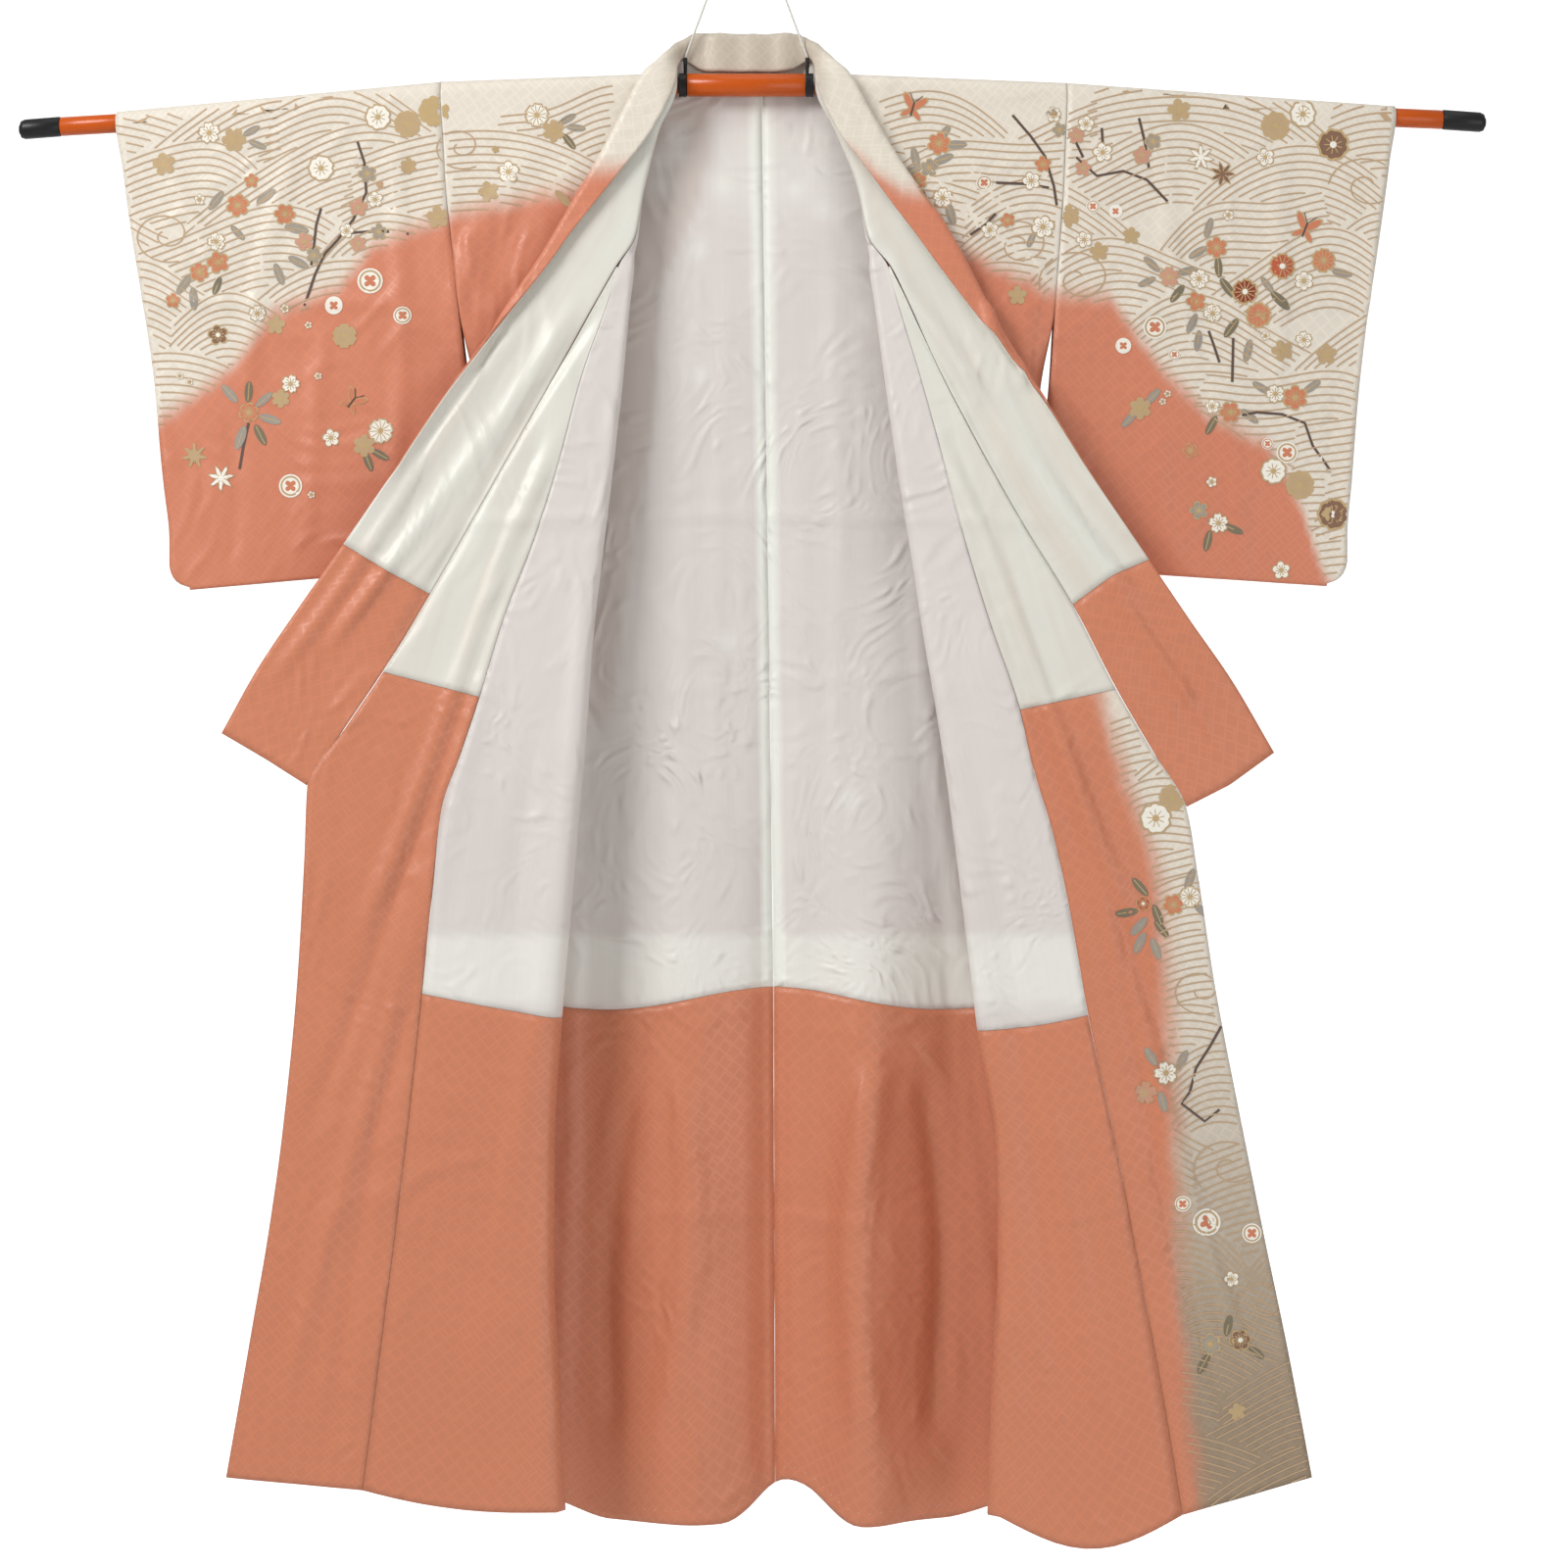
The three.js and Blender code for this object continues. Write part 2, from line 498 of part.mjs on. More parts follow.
// The direction in which cloth sewn to the inner edge of a row goes on from it
function awayFrom(grid, i, normal) {
  const row = grid[i];
  const beside = grid[Math.min(i + 1, grid.length - 1)][0].clone().sub(grid[Math.max(i - 1, 0)][0]);
  const away = new THREE.Vector3().crossVectors(beside, normal).normalize();
  const hint = row[0].clone().sub(row[1]).normalize().add(new THREE.Vector3(0, 0, 0.5));
  return away.multiplyScalar(Math.sign(away.dot(hint)));
}

// Collar rows of one side from the middle of the back to the collar's end
function collarRows(side, body, okumi) {
  const seamRows = [
    ...body.slice(BACK_DROPS.length - 1, FRONT_START + OKUMI_TOP),
    ...okumi.slice(0, side.collar.length - OKUMI_TOP).map((row) => [...row].reverse()),
  ];
  const normals = normalsOf(seamRows.map((row) => row.slice(0, 4)));
  const stations = [...NECK_COLLAR, ...side.collar];
  return seamRows.map((row, i) => {
    const normal = normals[i][0];
    const away = awayFrom(seamRows, i, normal);
    return collarRow(side, row[0].clone().addScaledVector(away, COLLAR_GAP), away, normal, stations[i]);
  });
}

function sleeveGrid(side) {
  const low = (drop) => (drop > 440 ? 440 : drop);
  const inner = (drop) => at(side.sleeve, 'inner', drop);
  const outer = (drop) => at(side.sleeve, 'outer', low(drop)) - (drop < 440 ? 0 : at(CORNER, 'in', drop));
  const depth = (drop, t) => {
    const innerDepth = drop > 440 ? at(CORNER, 'depth', drop) : at(side.sleeve, 'innerDepth', drop);
    return lerp(innerDepth, at(side.sleeve, 'outerDepth', low(drop)), t);
  };
  const columns = Array.from({ length: SLEEVE_COLUMNS + 1 }, (_, j) => j / SLEEVE_COLUMNS);
  const flat = (drop, face) => columns.map((t) => {
    const out = lerp(inner(drop), outer(drop), t);
    return point(side.sign, out, face * depth(drop, t), drop + armDrop(side.arm, out));
  });
  const over = (angle) => columns.map((t) => {
    const out = lerp(inner(0), outer(0), t);
    const radius = depth(0, t);
    const drop = armDrop(side.arm, out) - radius * Math.sin(angle);
    return point(side.sign, out, radius * Math.cos(angle), drop);
  });
  const lower = [...side.sleeve.slice(3).map((row) => row.drop), ...CORNER.map((row) => row.drop)];
  const backDrops = [50, 106, ...lower];
  const frontDrops = [50, 106, 161, 193, ...lower];
  const turn = [];
  for (let k = 0; k <= TURN_STEPS; k += 1) turn.push(over((Math.PI * k) / TURN_STEPS));
  const back = backDrops.reverse().map((drop) => flat(drop, 1));
  const front = frontDrops.map((drop) => flat(drop, -1));
  return [...back, ...turn, ...front, flat(SLEEVE_BOTTOM, 0)];
}

// A rod along straight stretches between points, a flat ring of corners at each
function rod(points, radii, sides) {
  const grid = points.map((p, i) => {
    const before = points[Math.max(i - 1, 0)];
    const after = points[Math.min(i + 1, points.length - 1)];
    const forward = after.clone().sub(before).normalize();
    const up = new THREE.Vector3(0, 1, 0);
    const acrossRod = new THREE.Vector3().crossVectors(forward, up).normalize();
    return Array.from({ length: sides }, (_, k) => {
      const angle = (2 * Math.PI * k) / sides;
      const rim = p.clone().addScaledVector(up, radii[i] * Math.cos(angle));
      return rim.addScaledVector(acrossRod, radii[i] * Math.sin(angle));
    });
  });
  const position = grid.flat().flatMap((p) => [p.x, p.y, p.z]);
  const index = [];
  for (let i = 0; i < grid.length - 1; i += 1) {
    for (let k = 0; k < sides; k += 1) {
      const next = (k + 1) % sides;
      const [a, b] = [i * sides + k, i * sides + next];
      index.push(a, b, b + sides, a, b + sides, a + sides);
    }
  }
  const end = (grid.length - 1) * sides;
  for (let k = 1; k < sides - 1; k += 1) index.push(0, k + 1, k, end, end + k, end + k + 1);
  const geometry = new THREE.BufferGeometry();
  geometry.setAttribute('position', new THREE.Float32BufferAttribute(position, 3));
  geometry.setIndex(index);
  return geometry;
}

const LEFT = {
  name: 'left', sign: -1, lines: LEFT_SIDE, front: LEFT_FRONT, sleeve: LEFT_SLEEVE, arm: LEFT_ARM,
  hem: LEFT_HEM, collar: LEFT_COLLAR,
};
const RIGHT = {
  name: 'right', sign: 1, lines: RIGHT_SIDE, front: RIGHT_FRONT, sleeve: RIGHT_SLEEVE, arm: RIGHT_ARM,
  hem: RIGHT_HEM, collar: RIGHT_COLLAR,
};

const collarHalves = [LEFT, RIGHT].map((side) => {
  const body = bodyGrid(side);
  const okumi = okumiGrid(side);
  const facing = -side.sign;
  const { name } = side;
  const liningEnd = FRONT_START + FRONT_LINING_END;
  const last = body.length - 1;
  const seams = ['first', 'last'];
  const middle = BACK_DROPS.length;
  panel(`body_${name}`, body, facing, SILK_PLY, silkLook, { edges: seams, middle });
  panel(`lining_body_${name}`, body, facing, LINING_PLY, liningLook, {
    rows: [BACK_LINING_END, liningEnd], edges: [...seams, 'start', 'end'], middle,
  });
  panel(`hakkake_back_${name}`, body, facing, LINING_PLY, hemLook, {
    rows: [0, BACK_LINING_END], edges: [...seams, 'end'], middle,
  });
  panel(`hakkake_front_${name}`, body, facing, LINING_PLY, hemLook, {
    rows: [liningEnd, last], edges: [...seams, 'start'],
  });
  const okumiEnd = OKUMI_LINING_END - OKUMI_TOP;
  panel(`okumi_${name}`, okumi, -facing, SILK_PLY, silkLook, { edges: seams });
  panel(`lining_okumi_${name}`, okumi, -facing, LINING_PLY, liningLook, {
    rows: [0, okumiEnd], edges: [...seams, 'end'],
  });
  panel(`hakkake_okumi_${name}`, okumi, -facing, LINING_PLY, hemLook, {
    rows: [okumiEnd, okumi.length - 1], edges: [...seams, 'start'],
  });
  panel(`sleeve_${name}`, sleeveGrid(side), facing, SILK_PLY, silkLook, { closed: true, edges: ['first'] });
  return collarRows(side, body, okumi);
});

const [leftCollar, rightCollar] = collarHalves;
const collar = [...leftCollar.slice(1).reverse(), ...rightCollar];
const leftEnd = leftCollar.length - 1;
const neckRows = NECK_COLLAR.length;
const leftOf = (row) => leftEnd - neckRows - row;
const rightOf = (row) => leftEnd + neckRows + row;
const collarLining = [leftOf(COLLAR_LINING_END), rightOf(COLLAR_LINING_END)];
const columns = [1, 10];
const OVER_COLUMNS = [3, 10];
panel('collar', collar, 1, SILK_PLY, silkLook, { columns });
panel('lining_collar', collar, 1, LINING_PLY, liningLook, {
  rows: collarLining, columns, edges: ['start', 'end'],
});
panel('collar_tip_lining_left', collar, 1, LINING_PLY, hemLook, {
  rows: [0, collarLining[0]], columns, edges: ['end'],
});
panel('collar_tip_lining_right', collar, 1, LINING_PLY, hemLook, {
  rows: [collarLining[1], collar.length - 1], columns, edges: ['start'],
});
panel('over_collar', collar, 1, OVER_PLY, silkLook, {
  rows: [leftOf(LEFT_OVER_END), rightOf(RIGHT_OVER_END)], columns: OVER_COLUMNS,
});

// A rod of the hanger from its stops, each [out, drop, radius], with the stops in the order of their x
function hangerRod(name, sign, stops, look) {
  const ordered = sign > 0 ? stops : [...stops].reverse();
  const points = ordered.map(([out, drop]) => point(sign, out, 0, drop));
  add(name, rod(points, ordered.map((stop) => stop[2]), ARM_SIDES), look);
}

// Hanger: the tube, and on each side a bracket with its knob and an arm with its cap
hangerRod('tube', 1, [[-TUBE_HALF, 0, TUBE_RADIUS], [TUBE_HALF, 0, TUBE_RADIUS]], orangeLook);
for (const { sign, name, arm } of [LEFT, RIGHT]) {
  const bracket = [TUBE_HALF + SEAM_GAP, BRACKET_HALF].map((out) => [out, 0, BRACKET_RADIUS]);
  hangerRod(`bracket_${name}`, sign, bracket, blackLook);
  const height = POST_TOP - BRACKET_RADIUS - SEAM_GAP;
  const post = new THREE.CylinderGeometry(POST_RADIUS, POST_RADIUS * 0.8, height, 12);
  post.rotateX(Math.PI / 2).translate(sign * POST_OUT, 0, -ROD_DROP + POST_TOP - height / 2);
  add(`cord_post_${name}`, post, blackLook);
  const start = BRACKET_HALF + 3 * SEAM_GAP;
  const stops = [[start, armDrop(arm, start)], arm.knee, arm.end, arm.orange];
  hangerRod(`arm_${name}`, sign, stops.map((stop) => [...stop, ARM_RADIUS]), orangeLook);
  const [out, drop] = arm.tip;
  const cap = [
    [arm.orange[0] + SEAM_GAP, arm.orange[1], CAP_RADIUS],
    [out - CAP_TAPER.length, drop - CAP_TAPER.drop, CAP_RADIUS],
    [out, drop, CAP_TAPER.radius],
  ];
  hangerRod(`end_cap_${name}`, sign, cap, blackLook);
}

// Cord from both knobs over the hook
const [leftStrand, rightStrand] = [-1, 1].map((sign) => (
  CORD_HALF.map(([out, height]) => new THREE.Vector3(sign * out, 0, height))
));
const crest = new THREE.Vector3(0, 0, -CORD_RADIUS);
const cordLine = [...leftStrand, crest, ...rightStrand.reverse()];
add('hang_cord', rod(cordLine, cordLine.map(() => CORD_RADIUS), CORD_SIDES), cordLook);

export default group;
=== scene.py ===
"""Lined silk kimono on its hanger, both fronts folded open: cloth, dyeing, stitches and studio."""

import functools
import math
import random

import bmesh
import bpy
import numpy as np
from bpy.props import FloatProperty, FloatVectorProperty
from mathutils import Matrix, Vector, kdtree

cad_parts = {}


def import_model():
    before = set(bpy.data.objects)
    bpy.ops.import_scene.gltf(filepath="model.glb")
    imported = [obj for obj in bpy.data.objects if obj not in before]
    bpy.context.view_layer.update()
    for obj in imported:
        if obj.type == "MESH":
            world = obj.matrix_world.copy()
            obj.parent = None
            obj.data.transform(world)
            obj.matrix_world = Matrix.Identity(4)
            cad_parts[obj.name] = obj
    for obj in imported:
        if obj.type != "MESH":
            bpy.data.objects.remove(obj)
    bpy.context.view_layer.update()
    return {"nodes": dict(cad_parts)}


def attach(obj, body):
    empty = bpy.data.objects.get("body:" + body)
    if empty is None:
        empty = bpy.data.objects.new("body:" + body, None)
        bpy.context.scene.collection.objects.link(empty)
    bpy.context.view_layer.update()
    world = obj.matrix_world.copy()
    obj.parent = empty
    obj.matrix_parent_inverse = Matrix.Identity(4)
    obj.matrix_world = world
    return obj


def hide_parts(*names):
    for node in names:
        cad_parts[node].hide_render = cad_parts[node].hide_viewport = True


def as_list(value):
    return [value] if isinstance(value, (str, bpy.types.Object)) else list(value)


bl_info = {
    "name": "Silk Kimono",
    "version": (1, 0, 0),
    "blender": (4, 5, 0),
    "location": "View3D > Sidebar > Kimono",
    "description": "Builds a lined silk kimono on its hanger",
    "category": "Object",
}

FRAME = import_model()
MM = 0.001

# Cloth, in millimetres as the solids are
SILK = 1.2
LINING = 1.0
PLY_GAP = 0.6
SEAM_GAP = 0.3
OVER_COLLAR = 1.0
SILK_PLY = (PLY_GAP / 2, PLY_GAP / 2 + SILK)
LINING_PLY = (-PLY_GAP / 2 - LINING, -PLY_GAP / 2)
OVER_PLY = (SILK_PLY[1] + SEAM_GAP, SILK_PLY[1] + SEAM_GAP + OVER_COLLAR)

# Hanger
ROD_DROP = 188.7
TUBE_HALF = 61.5
TUBE_RADIUS = 11.75
BRACKET_RADIUS = 12.2
BRACKET_HALF = 70
BRACKET_GROOVE = 3
GROOVE_DEPTH = 0.4
ARM_RADIUS = 9.75
CAP_RADIUS = ARM_RADIUS + 0.4
ROD_SIDES = 48
RIM = 0.7
SHARP_ANGLE = 50
# One half of the cord's route, from its knob up to the hook: how far from the middle and how high
CORD_HALF = (
    (63.4, -159.8), (56.3, -140.5), (49.1, -121.2), (42, -101.9), (34.9, -82.6), (27.8, -63.3),
    (20.7, -44), (13.6, -24.7), (6.5, -5.4), (4.6, -2.8), (2.4, -1.5),
)
FOLD_RADIUS = ARM_RADIUS + 0.55 + LINING + PLY_GAP / 2

# How the cloth lies on the hanger
NECK = 75.5
OPENING_END = 225
SIDE_SEAM_TOP = 383
SIDE_TURN = 20
COLLAR_FOLD = 4
COLLAR_FOLD_LENGTH = 10
COLLAR_GAP = 0.7
COLLAR_TURN = 2.7
COLLAR_TURN_PARTS = 22
COLLAR_ROOT = 20
COLLAR_STRIP = 8
LEAST_ANGLE = 0.02
UPWARD = (0, 0, 0.5)
# Lengths over which one part of the hang passes into the next
ROD_START = 60
ROD_REACH = 25
SHOULDER_REACH = 100
SEAM_REACH = 80
SEAM_DROP = 150
SLOPE_REACH = 300
FOLDS_FULL = 1300
LOOSE_CURL = 60
LEAST_VISIBLE = (6, 40)
LEAST_ROLL = (6, 50)
FRONT_HEM = 1441
DIP_POWER = 6
RISE_POWER = 3

# Columns of the fine grids, and the longest step between their rows
BACK_COLUMNS = 36
TURN_COLUMNS = 6
FRONT_COLUMNS = (14, 10, 12)
OKUMI_COLUMNS = 20
COLLAR_COLUMNS = (3, 8, 7, 11)
SLEEVE_COLUMNS = 48
ROW_STEP = 7.5
# Points along a row before it is divided: across the back, along a roll, round the side seam and a fold
BACK_SAMPLES = 60
ROLL_SAMPLES = 17
SIDE_SAMPLES = 9
FOLD_SAMPLES = 13
SEAMS = ("first", "last")

# Drawing and sewing
SEED = 11
WAVE_ACROSS = 165
WAVE_DOWN = 56
WAVE_LINES = 11
WAVE_STEPS = 35
WAVE_SPACING = 8
WAVE_WIDTH = 1.4
WAVE_SHIFT = ((-26, 26), (-16, 16))
CREST_SHAPE = ((80, 132), (26, 54), (-0.4, 0.35), (-13, 13))
CREST_SWAY_RATE = 3.4
CREST_WIDEN = 0.03
CREST_MARGIN = 2
SWIRL_STEPS = 34
SWIRL_IN = 0.85
SWIRL_ANGLE = 9
SWIRL_FLAT = 0.8
BRANCH_WIDTH = 2.6
PAINT_LIFT = 0.45
PAINT_LEVEL = 0.07
SHAPE_POINTS = 30
SHAPE_RINGS = (0.6, 1.0)
FRET_SCALE = 26.0
SPRIG_SCALE = 11.0
STITCH_LIFT = 0.1
WRINKLE_DRIFT = 1.0
EDGE_INSET = 2.5
HEM_ROW = 2
FACING = 0.6
LEAST_AREA = 1e-6
BACK_MIRROR = 790

# Studio: name, place and size of each lamp in metres, its power in watts; the room in millimetres
LENS = 70.6
LIT_POINT = (0, 0, -0.9)
LAMPS = (
    ("Key", (-2.5, -2.5, 1.3), 1.5, 98),
    ("Fill", (2.4, -3.2, -1.3), 2.6, 34),
    ("Top", (0.2, -0.9, 2.4), 2.2, 14),
)
ROOM = 6000
WALL_GLOW = 0.66
FLOOR_Z = -3450


def table(names, rows):
    """Named columns of a table as arrays."""
    return dict(zip(names, np.array(rows, float).T))


LINES = ("edgeDrop", "edge", "seamDrop", "seam", "rollDrop", "roll")
LEFT_FRONT = table(LINES, [
    (50, 92, 50, 92, 50, 92), (106, 106, 106, 106, 106, 106), (133, 110, 133, 110, 133, 110),
    (161, 114, 161, 114, 161, 113),
    (193, 134, 193, 132.2, 193, 117), (225, 152, 227, 142, 229, 121), (300, 194, 308, 170, 316, 129),
    (383, 240, 399, 194, 415, 140), (458, 282, 478, 219, 498, 150), (532, 325, 556, 249, 578, 159),
    (612, 373, 638, 274, 662, 165), (670, 412, 696, 293, 721, 170), (729, 451, 755, 313, 780, 175),
    (802, 454, 827, 321, 852, 181), (920, 461, 943, 333, 968, 191), (1060, 474, 1080, 347, 1105, 199),
    (1180, 490, 1197, 361, 1221, 199), (1320, 514, 1334, 378, 1358, 193), (1441, 535, 1452, 393, 1476, 187),
])
RIGHT_FRONT = table(LINES, [
    (50, 94, 50, 94, 50, 94), (106, 116, 106, 116, 106, 116), (133, 121, 133, 121, 133, 121),
    (161, 133, 161, 133, 161, 125),
    (193, 149, 193, 147.2, 193, 129), (225, 165, 227, 156, 229, 134), (300, 199, 307, 180, 313, 145),
    (383, 242, 395, 204, 405, 158), (458, 284, 474, 225, 486, 171), (543, 336, 563, 252, 577, 185),
    (630, 381, 651, 282, 667, 200), (690, 416, 712, 296, 728, 209), (751, 453, 775, 315, 791, 217),
    (820, 465, 847, 331, 863, 226), (935, 483, 965, 352, 981, 241), (1060, 507, 1092, 379, 1106, 260),
    (1180, 531, 1214, 402, 1224, 261), (1320, 560, 1355, 428, 1361, 254), (1441, 583, 1477, 448, 1480, 250),
])
OKUMI_TOP = 4
OKUMI_LINING_END = 10
COLLAR_LINING_END = 9
FRONT_LINING_END = 14

DEPTH = table(("drop", "hidden", "radius", "curl", "seam", "edge"), [
    (0, -11.6, 3, 0, -17, -17), (106, -11.6, 3.4, 45, -18, -18), (133, -11.7, 3.6, 95, -19, -19),
    (161, -11.8, 4.3, 140, -19.5, -19.5),
    (193, -12, 4.7, 180, -21.5, -21.5), (227, -12, 5, 180, -23.5, -24), (300, -12.5, 6.5, 180, -27, -28),
    (400, -13, 8, 180, -31, -33), (560, -14, 9, 180, -34, -37), (760, -14.5, 9, 180, -37, -38),
    (960, -15, 9.5, 180, -38, -35), (1200, -16, 10, 180, -42, -35), (1480, -18, 11, 180, -45, -34),
])

SIDE = ("drop", "side")
LEFT_SIDE = table(SIDE, [(0, 317), (106, 311), (225, 298), (300, 281), (383, 268), (606, 256), (1510, 238)])
RIGHT_SIDE = table(SIDE, [(0, 333), (106, 329), (225, 320), (300, 306), (383, 297), (606, 298), (1510, 303)])
MIDDLE = table(("drop", "x"), [(0, 16), (930, 28), (1510, 30)])
BACK_DROPS = (1508, 1400, 1270, 1120, 966, 800, 640, 500, 383, 300, 225, 106, 50, 8)
BACK_LINING_END = 4
BACK_DEPTH = table(("drop", "y"), [(0, 16.2), (225, 20), (600, 34), (966, 50), (1508, 62)])
SIDE_DEPTH = table(("drop", "y"), [(0, 12), (600, 13), (1510, 20)])
BACK_FOLDS = table(("x", "halfWidth", "from", "depth"), [
    (-58, 85, 300, -24), (-168, 52, 250, 10), (28, 32, 60, 14), (126, 62, 480, -32), (222, 52, 300, 14),
])
MIDDLE_LIFT = table(("drop", "amount", "halfWidth", "beside"), [
    (0, 0, 200, 0), (966, 24, 180, 0), (1508, 42, 74, 16),
])
HEM_RISE_WIDTH = 95
NECKLINE = ((34, 4), (70, 1))
TURN_STEPS = 6

# The collar's widths: how far out, how deep and how far down its fold and its free edge are
NECK_COLLAR = [
    (16, 12, -53, 16, 6.5, -15), (34, 12, -54, 33, 7, -15.5), (52, 11, -54, 49, 9, -18),
    (61.5, 9, -48, 60, 10, -25), (71, 0, -42, 68.5, 3.5, -28), (78, -8, -34, 71.5, -9, -20.5),
    (85, -14, -27, 72.5, -17, -13), (91, -18, -20, 72, -21, -8.5), (97, -20.5, -14.5, 71.5, -23.5, -5),
    (103, -21.5, -9, 71.5, -25, -2),
]
LEFT_COLLAR = [
    (122, -22.5, 26, 96, -26.5, 50), (149, -23, 78, 129, -27, 94), (162, -23.5, 101, 145, -27.7, 114),
    (176, -24, 124, 161, -28.5, 134),
    (191, -25, 151, 182, -30, 161), (208, -26, 180, 200, -31.5, 187), (252, -29, 249, 249, -37, 250),
    (283, -34, 316, 300, -46, 317), (330, -37, 386, 350, -47, 390), (369, -40, 508, 413, -44, 481),
    (415, -38, 578, 461, -40, 548), (457, -37, 637, 503, -36, 610), (492, -35, 703, 540, -33, 675),
]
RIGHT_COLLAR = [
    (124, -22.5, 28, 95, -26.5, 52), (150, -23, 72, 123, -27, 90), (163, -23.5, 92, 137, -27.7, 109),
    (177, -24, 112, 150, -28.5, 127),
    (199, -25, 142, 175, -30, 160), (216, -26, 171, 198, -31.5, 192), (255, -29, 247, 244, -36, 253),
    (292, -33, 314, 309, -45, 338), (322, -37, 380, 346, -47, 397), (377, -40, 513, 414, -44, 497),
    (424, -37, 585, 458, -40, 561), (458, -36, 650, 500, -37, 621), (498, -35, 728, 544, -33, 695),
]
LEFT_OVER_END = 7
RIGHT_OVER_END = 7

SLEEVE = ("drop", "inner", "outer", "innerDepth", "outerDepth")
LEFT_SLEEVE = table(SLEEVE, [
    (0, 317, 654, 11.6, 10.3), (50, 314.2, 647, 11.6, 8.5), (106, 311, 640, 11.6, 7),
    (225, 298, 622, 12, 2.2), (290, 290, 614, 9, 1.2), (380, 278, 606, 6.5, 1.2), (440, 272, 601, 4.5, 1.2),
])
RIGHT_SLEEVE = table(SLEEVE, [
    (0, 333, 674, 11.6, 10.3), (50, 331.2, 667, 11.6, 8.5), (106, 329, 660, 11.6, 7),
    (225, 320, 644, 12, 2.2), (290, 316, 637, 9, 1.2), (380, 307, 630, 6.5, 1.2), (440, 301, 626, 4.5, 1.2),
])
CORNER = table(("drop", "in", "depth"), [(465, 1, 3.6), (478, 5, 2.9), (486, 13, 2.2), (489.5, 22, 1.8)])
SLEEVE_STRAIGHT = 440
SLEEVE_BOTTOM = 491
SLEEVE_BACK_DROPS = (50, 106)
SLEEVE_FRONT_DROPS = (50, 106, 161, 193)

LEFT_ARM = table(("out", "fall"), [(TUBE_HALF, 0), (317, 9.7), (655, 39.8), (756, 46.4)])
RIGHT_ARM = table(("out", "fall"), [(TUBE_HALF, 0), (332, 10.9), (677, 34), (769, 39)])

LEFT = {
    "name": "left", "sign": -1, "lines": LEFT_SIDE, "front": LEFT_FRONT, "sleeve": LEFT_SLEEVE,
    "arm": LEFT_ARM, "cap": (713, 43.2), "dip": 8, "rise": 32, "collar": LEFT_COLLAR,
}
RIGHT = {
    "name": "right", "sign": 1, "lines": RIGHT_SIDE, "front": RIGHT_FRONT, "sleeve": RIGHT_SLEEVE,
    "arm": RIGHT_ARM, "cap": (724, 36), "dip": 34, "rise": 28, "collar": RIGHT_COLLAR,
}
# Rows of a sleeve before the rod and after it
SLEEVE_BACK_ROWS = 10
SLEEVE_FRONT_ROWS = 12


def lerp(a, b, t):
    return a + (b - a) * t


def clamp(t):
    return min(1.0, max(0.0, t))


def smooth(t):
    t = clamp(t)
    return t * t * (3 - 2 * t)


def bump(t):
    return (1 + math.cos(math.pi * t)) / 2 if abs(t) < 1 else 0.0


def unit(v):
    return v / max(float(np.linalg.norm(v)), 1e-12)


def at(rows, column, drop):
    """A table's column at any drop."""
    return float(np.interp(drop, rows["drop"], rows[column]))


def arm_fall(side, out):
    return float(np.interp(out, side["arm"]["out"], side["arm"]["fall"]))


def point(sign, out, y, drop):
    return np.array((sign * out, y, -ROD_DROP - drop))


def along(line, steps):
    """Points at fractions of the length of a polyline."""
    line = np.asarray(line)
    lengths = np.concatenate(([0], np.cumsum(np.linalg.norm(np.diff(line, axis=0), axis=1))))
    want = np.clip(steps, 0, 1) * lengths[-1]
    return np.stack([np.interp(want, lengths, line[:, axis]) for axis in range(3)], axis=1)


def column_steps(stretches):
    """Fractions of the whole at which columns stand, from (length, columns) of each stretch."""
    total = sum(length for length, _ in stretches)
    steps, start = [0.0], 0.0
    for length, count in stretches:
        steps += [(start + length * k / count) / total for k in range(1, count + 1)]
        start += length
    return np.array(steps)


def normals_of(grid, closed=False):
    """Unit normals of a grid of points; a closed grid wraps round its rows."""
    if closed:
        up, down = np.roll(grid, -1, axis=0), np.roll(grid, 1, axis=0)
    else:
        up = np.concatenate((grid[1:], grid[-1:]))
        down = np.concatenate((grid[:1], grid[:-1]))
    after = np.concatenate((grid[:, 1:], grid[:, -1:]), axis=1)
    before = np.concatenate((grid[:, :1], grid[:, :-1]), axis=1)
    normals = np.cross(after - before, up - down)
    return normals / np.maximum(np.linalg.norm(normals, axis=2, keepdims=True), 1e-9)


def on_rod(out):
    return smooth((out - ROD_START) / ROD_REACH)


def back_depth(x, out, drop, side):
    """Depth of the back panels: free below, on the rod at the shoulder, in the sleeve's seam at the side."""
    folds = sum(
        depth * bump((x - middle) / half) * smooth((drop - start) / (FOLDS_FULL - start))
        for middle, half, start, depth in zip(*BACK_FOLDS.values())
    )
    shoulder = on_rod(out) * (1 - smooth(drop / SHOULDER_REACH))
    width = at(side["lines"], "side", drop)
    beside = smooth((out - width + SEAM_REACH) / SEAM_REACH)
    seam = beside * (1 - smooth((drop - OPENING_END) / SEAM_DROP))
    free = at(BACK_DEPTH, "y", drop) + folds
    return lerp(free, at(side["sleeve"], "innerDepth", drop), max(shoulder, seam))


def side_closed(drop):
    return smooth((drop - OPENING_END) / (SIDE_SEAM_TOP - OPENING_END))


def slope_share(drop):
    return 1 - smooth((drop - OPENING_END) / SLOPE_REACH)


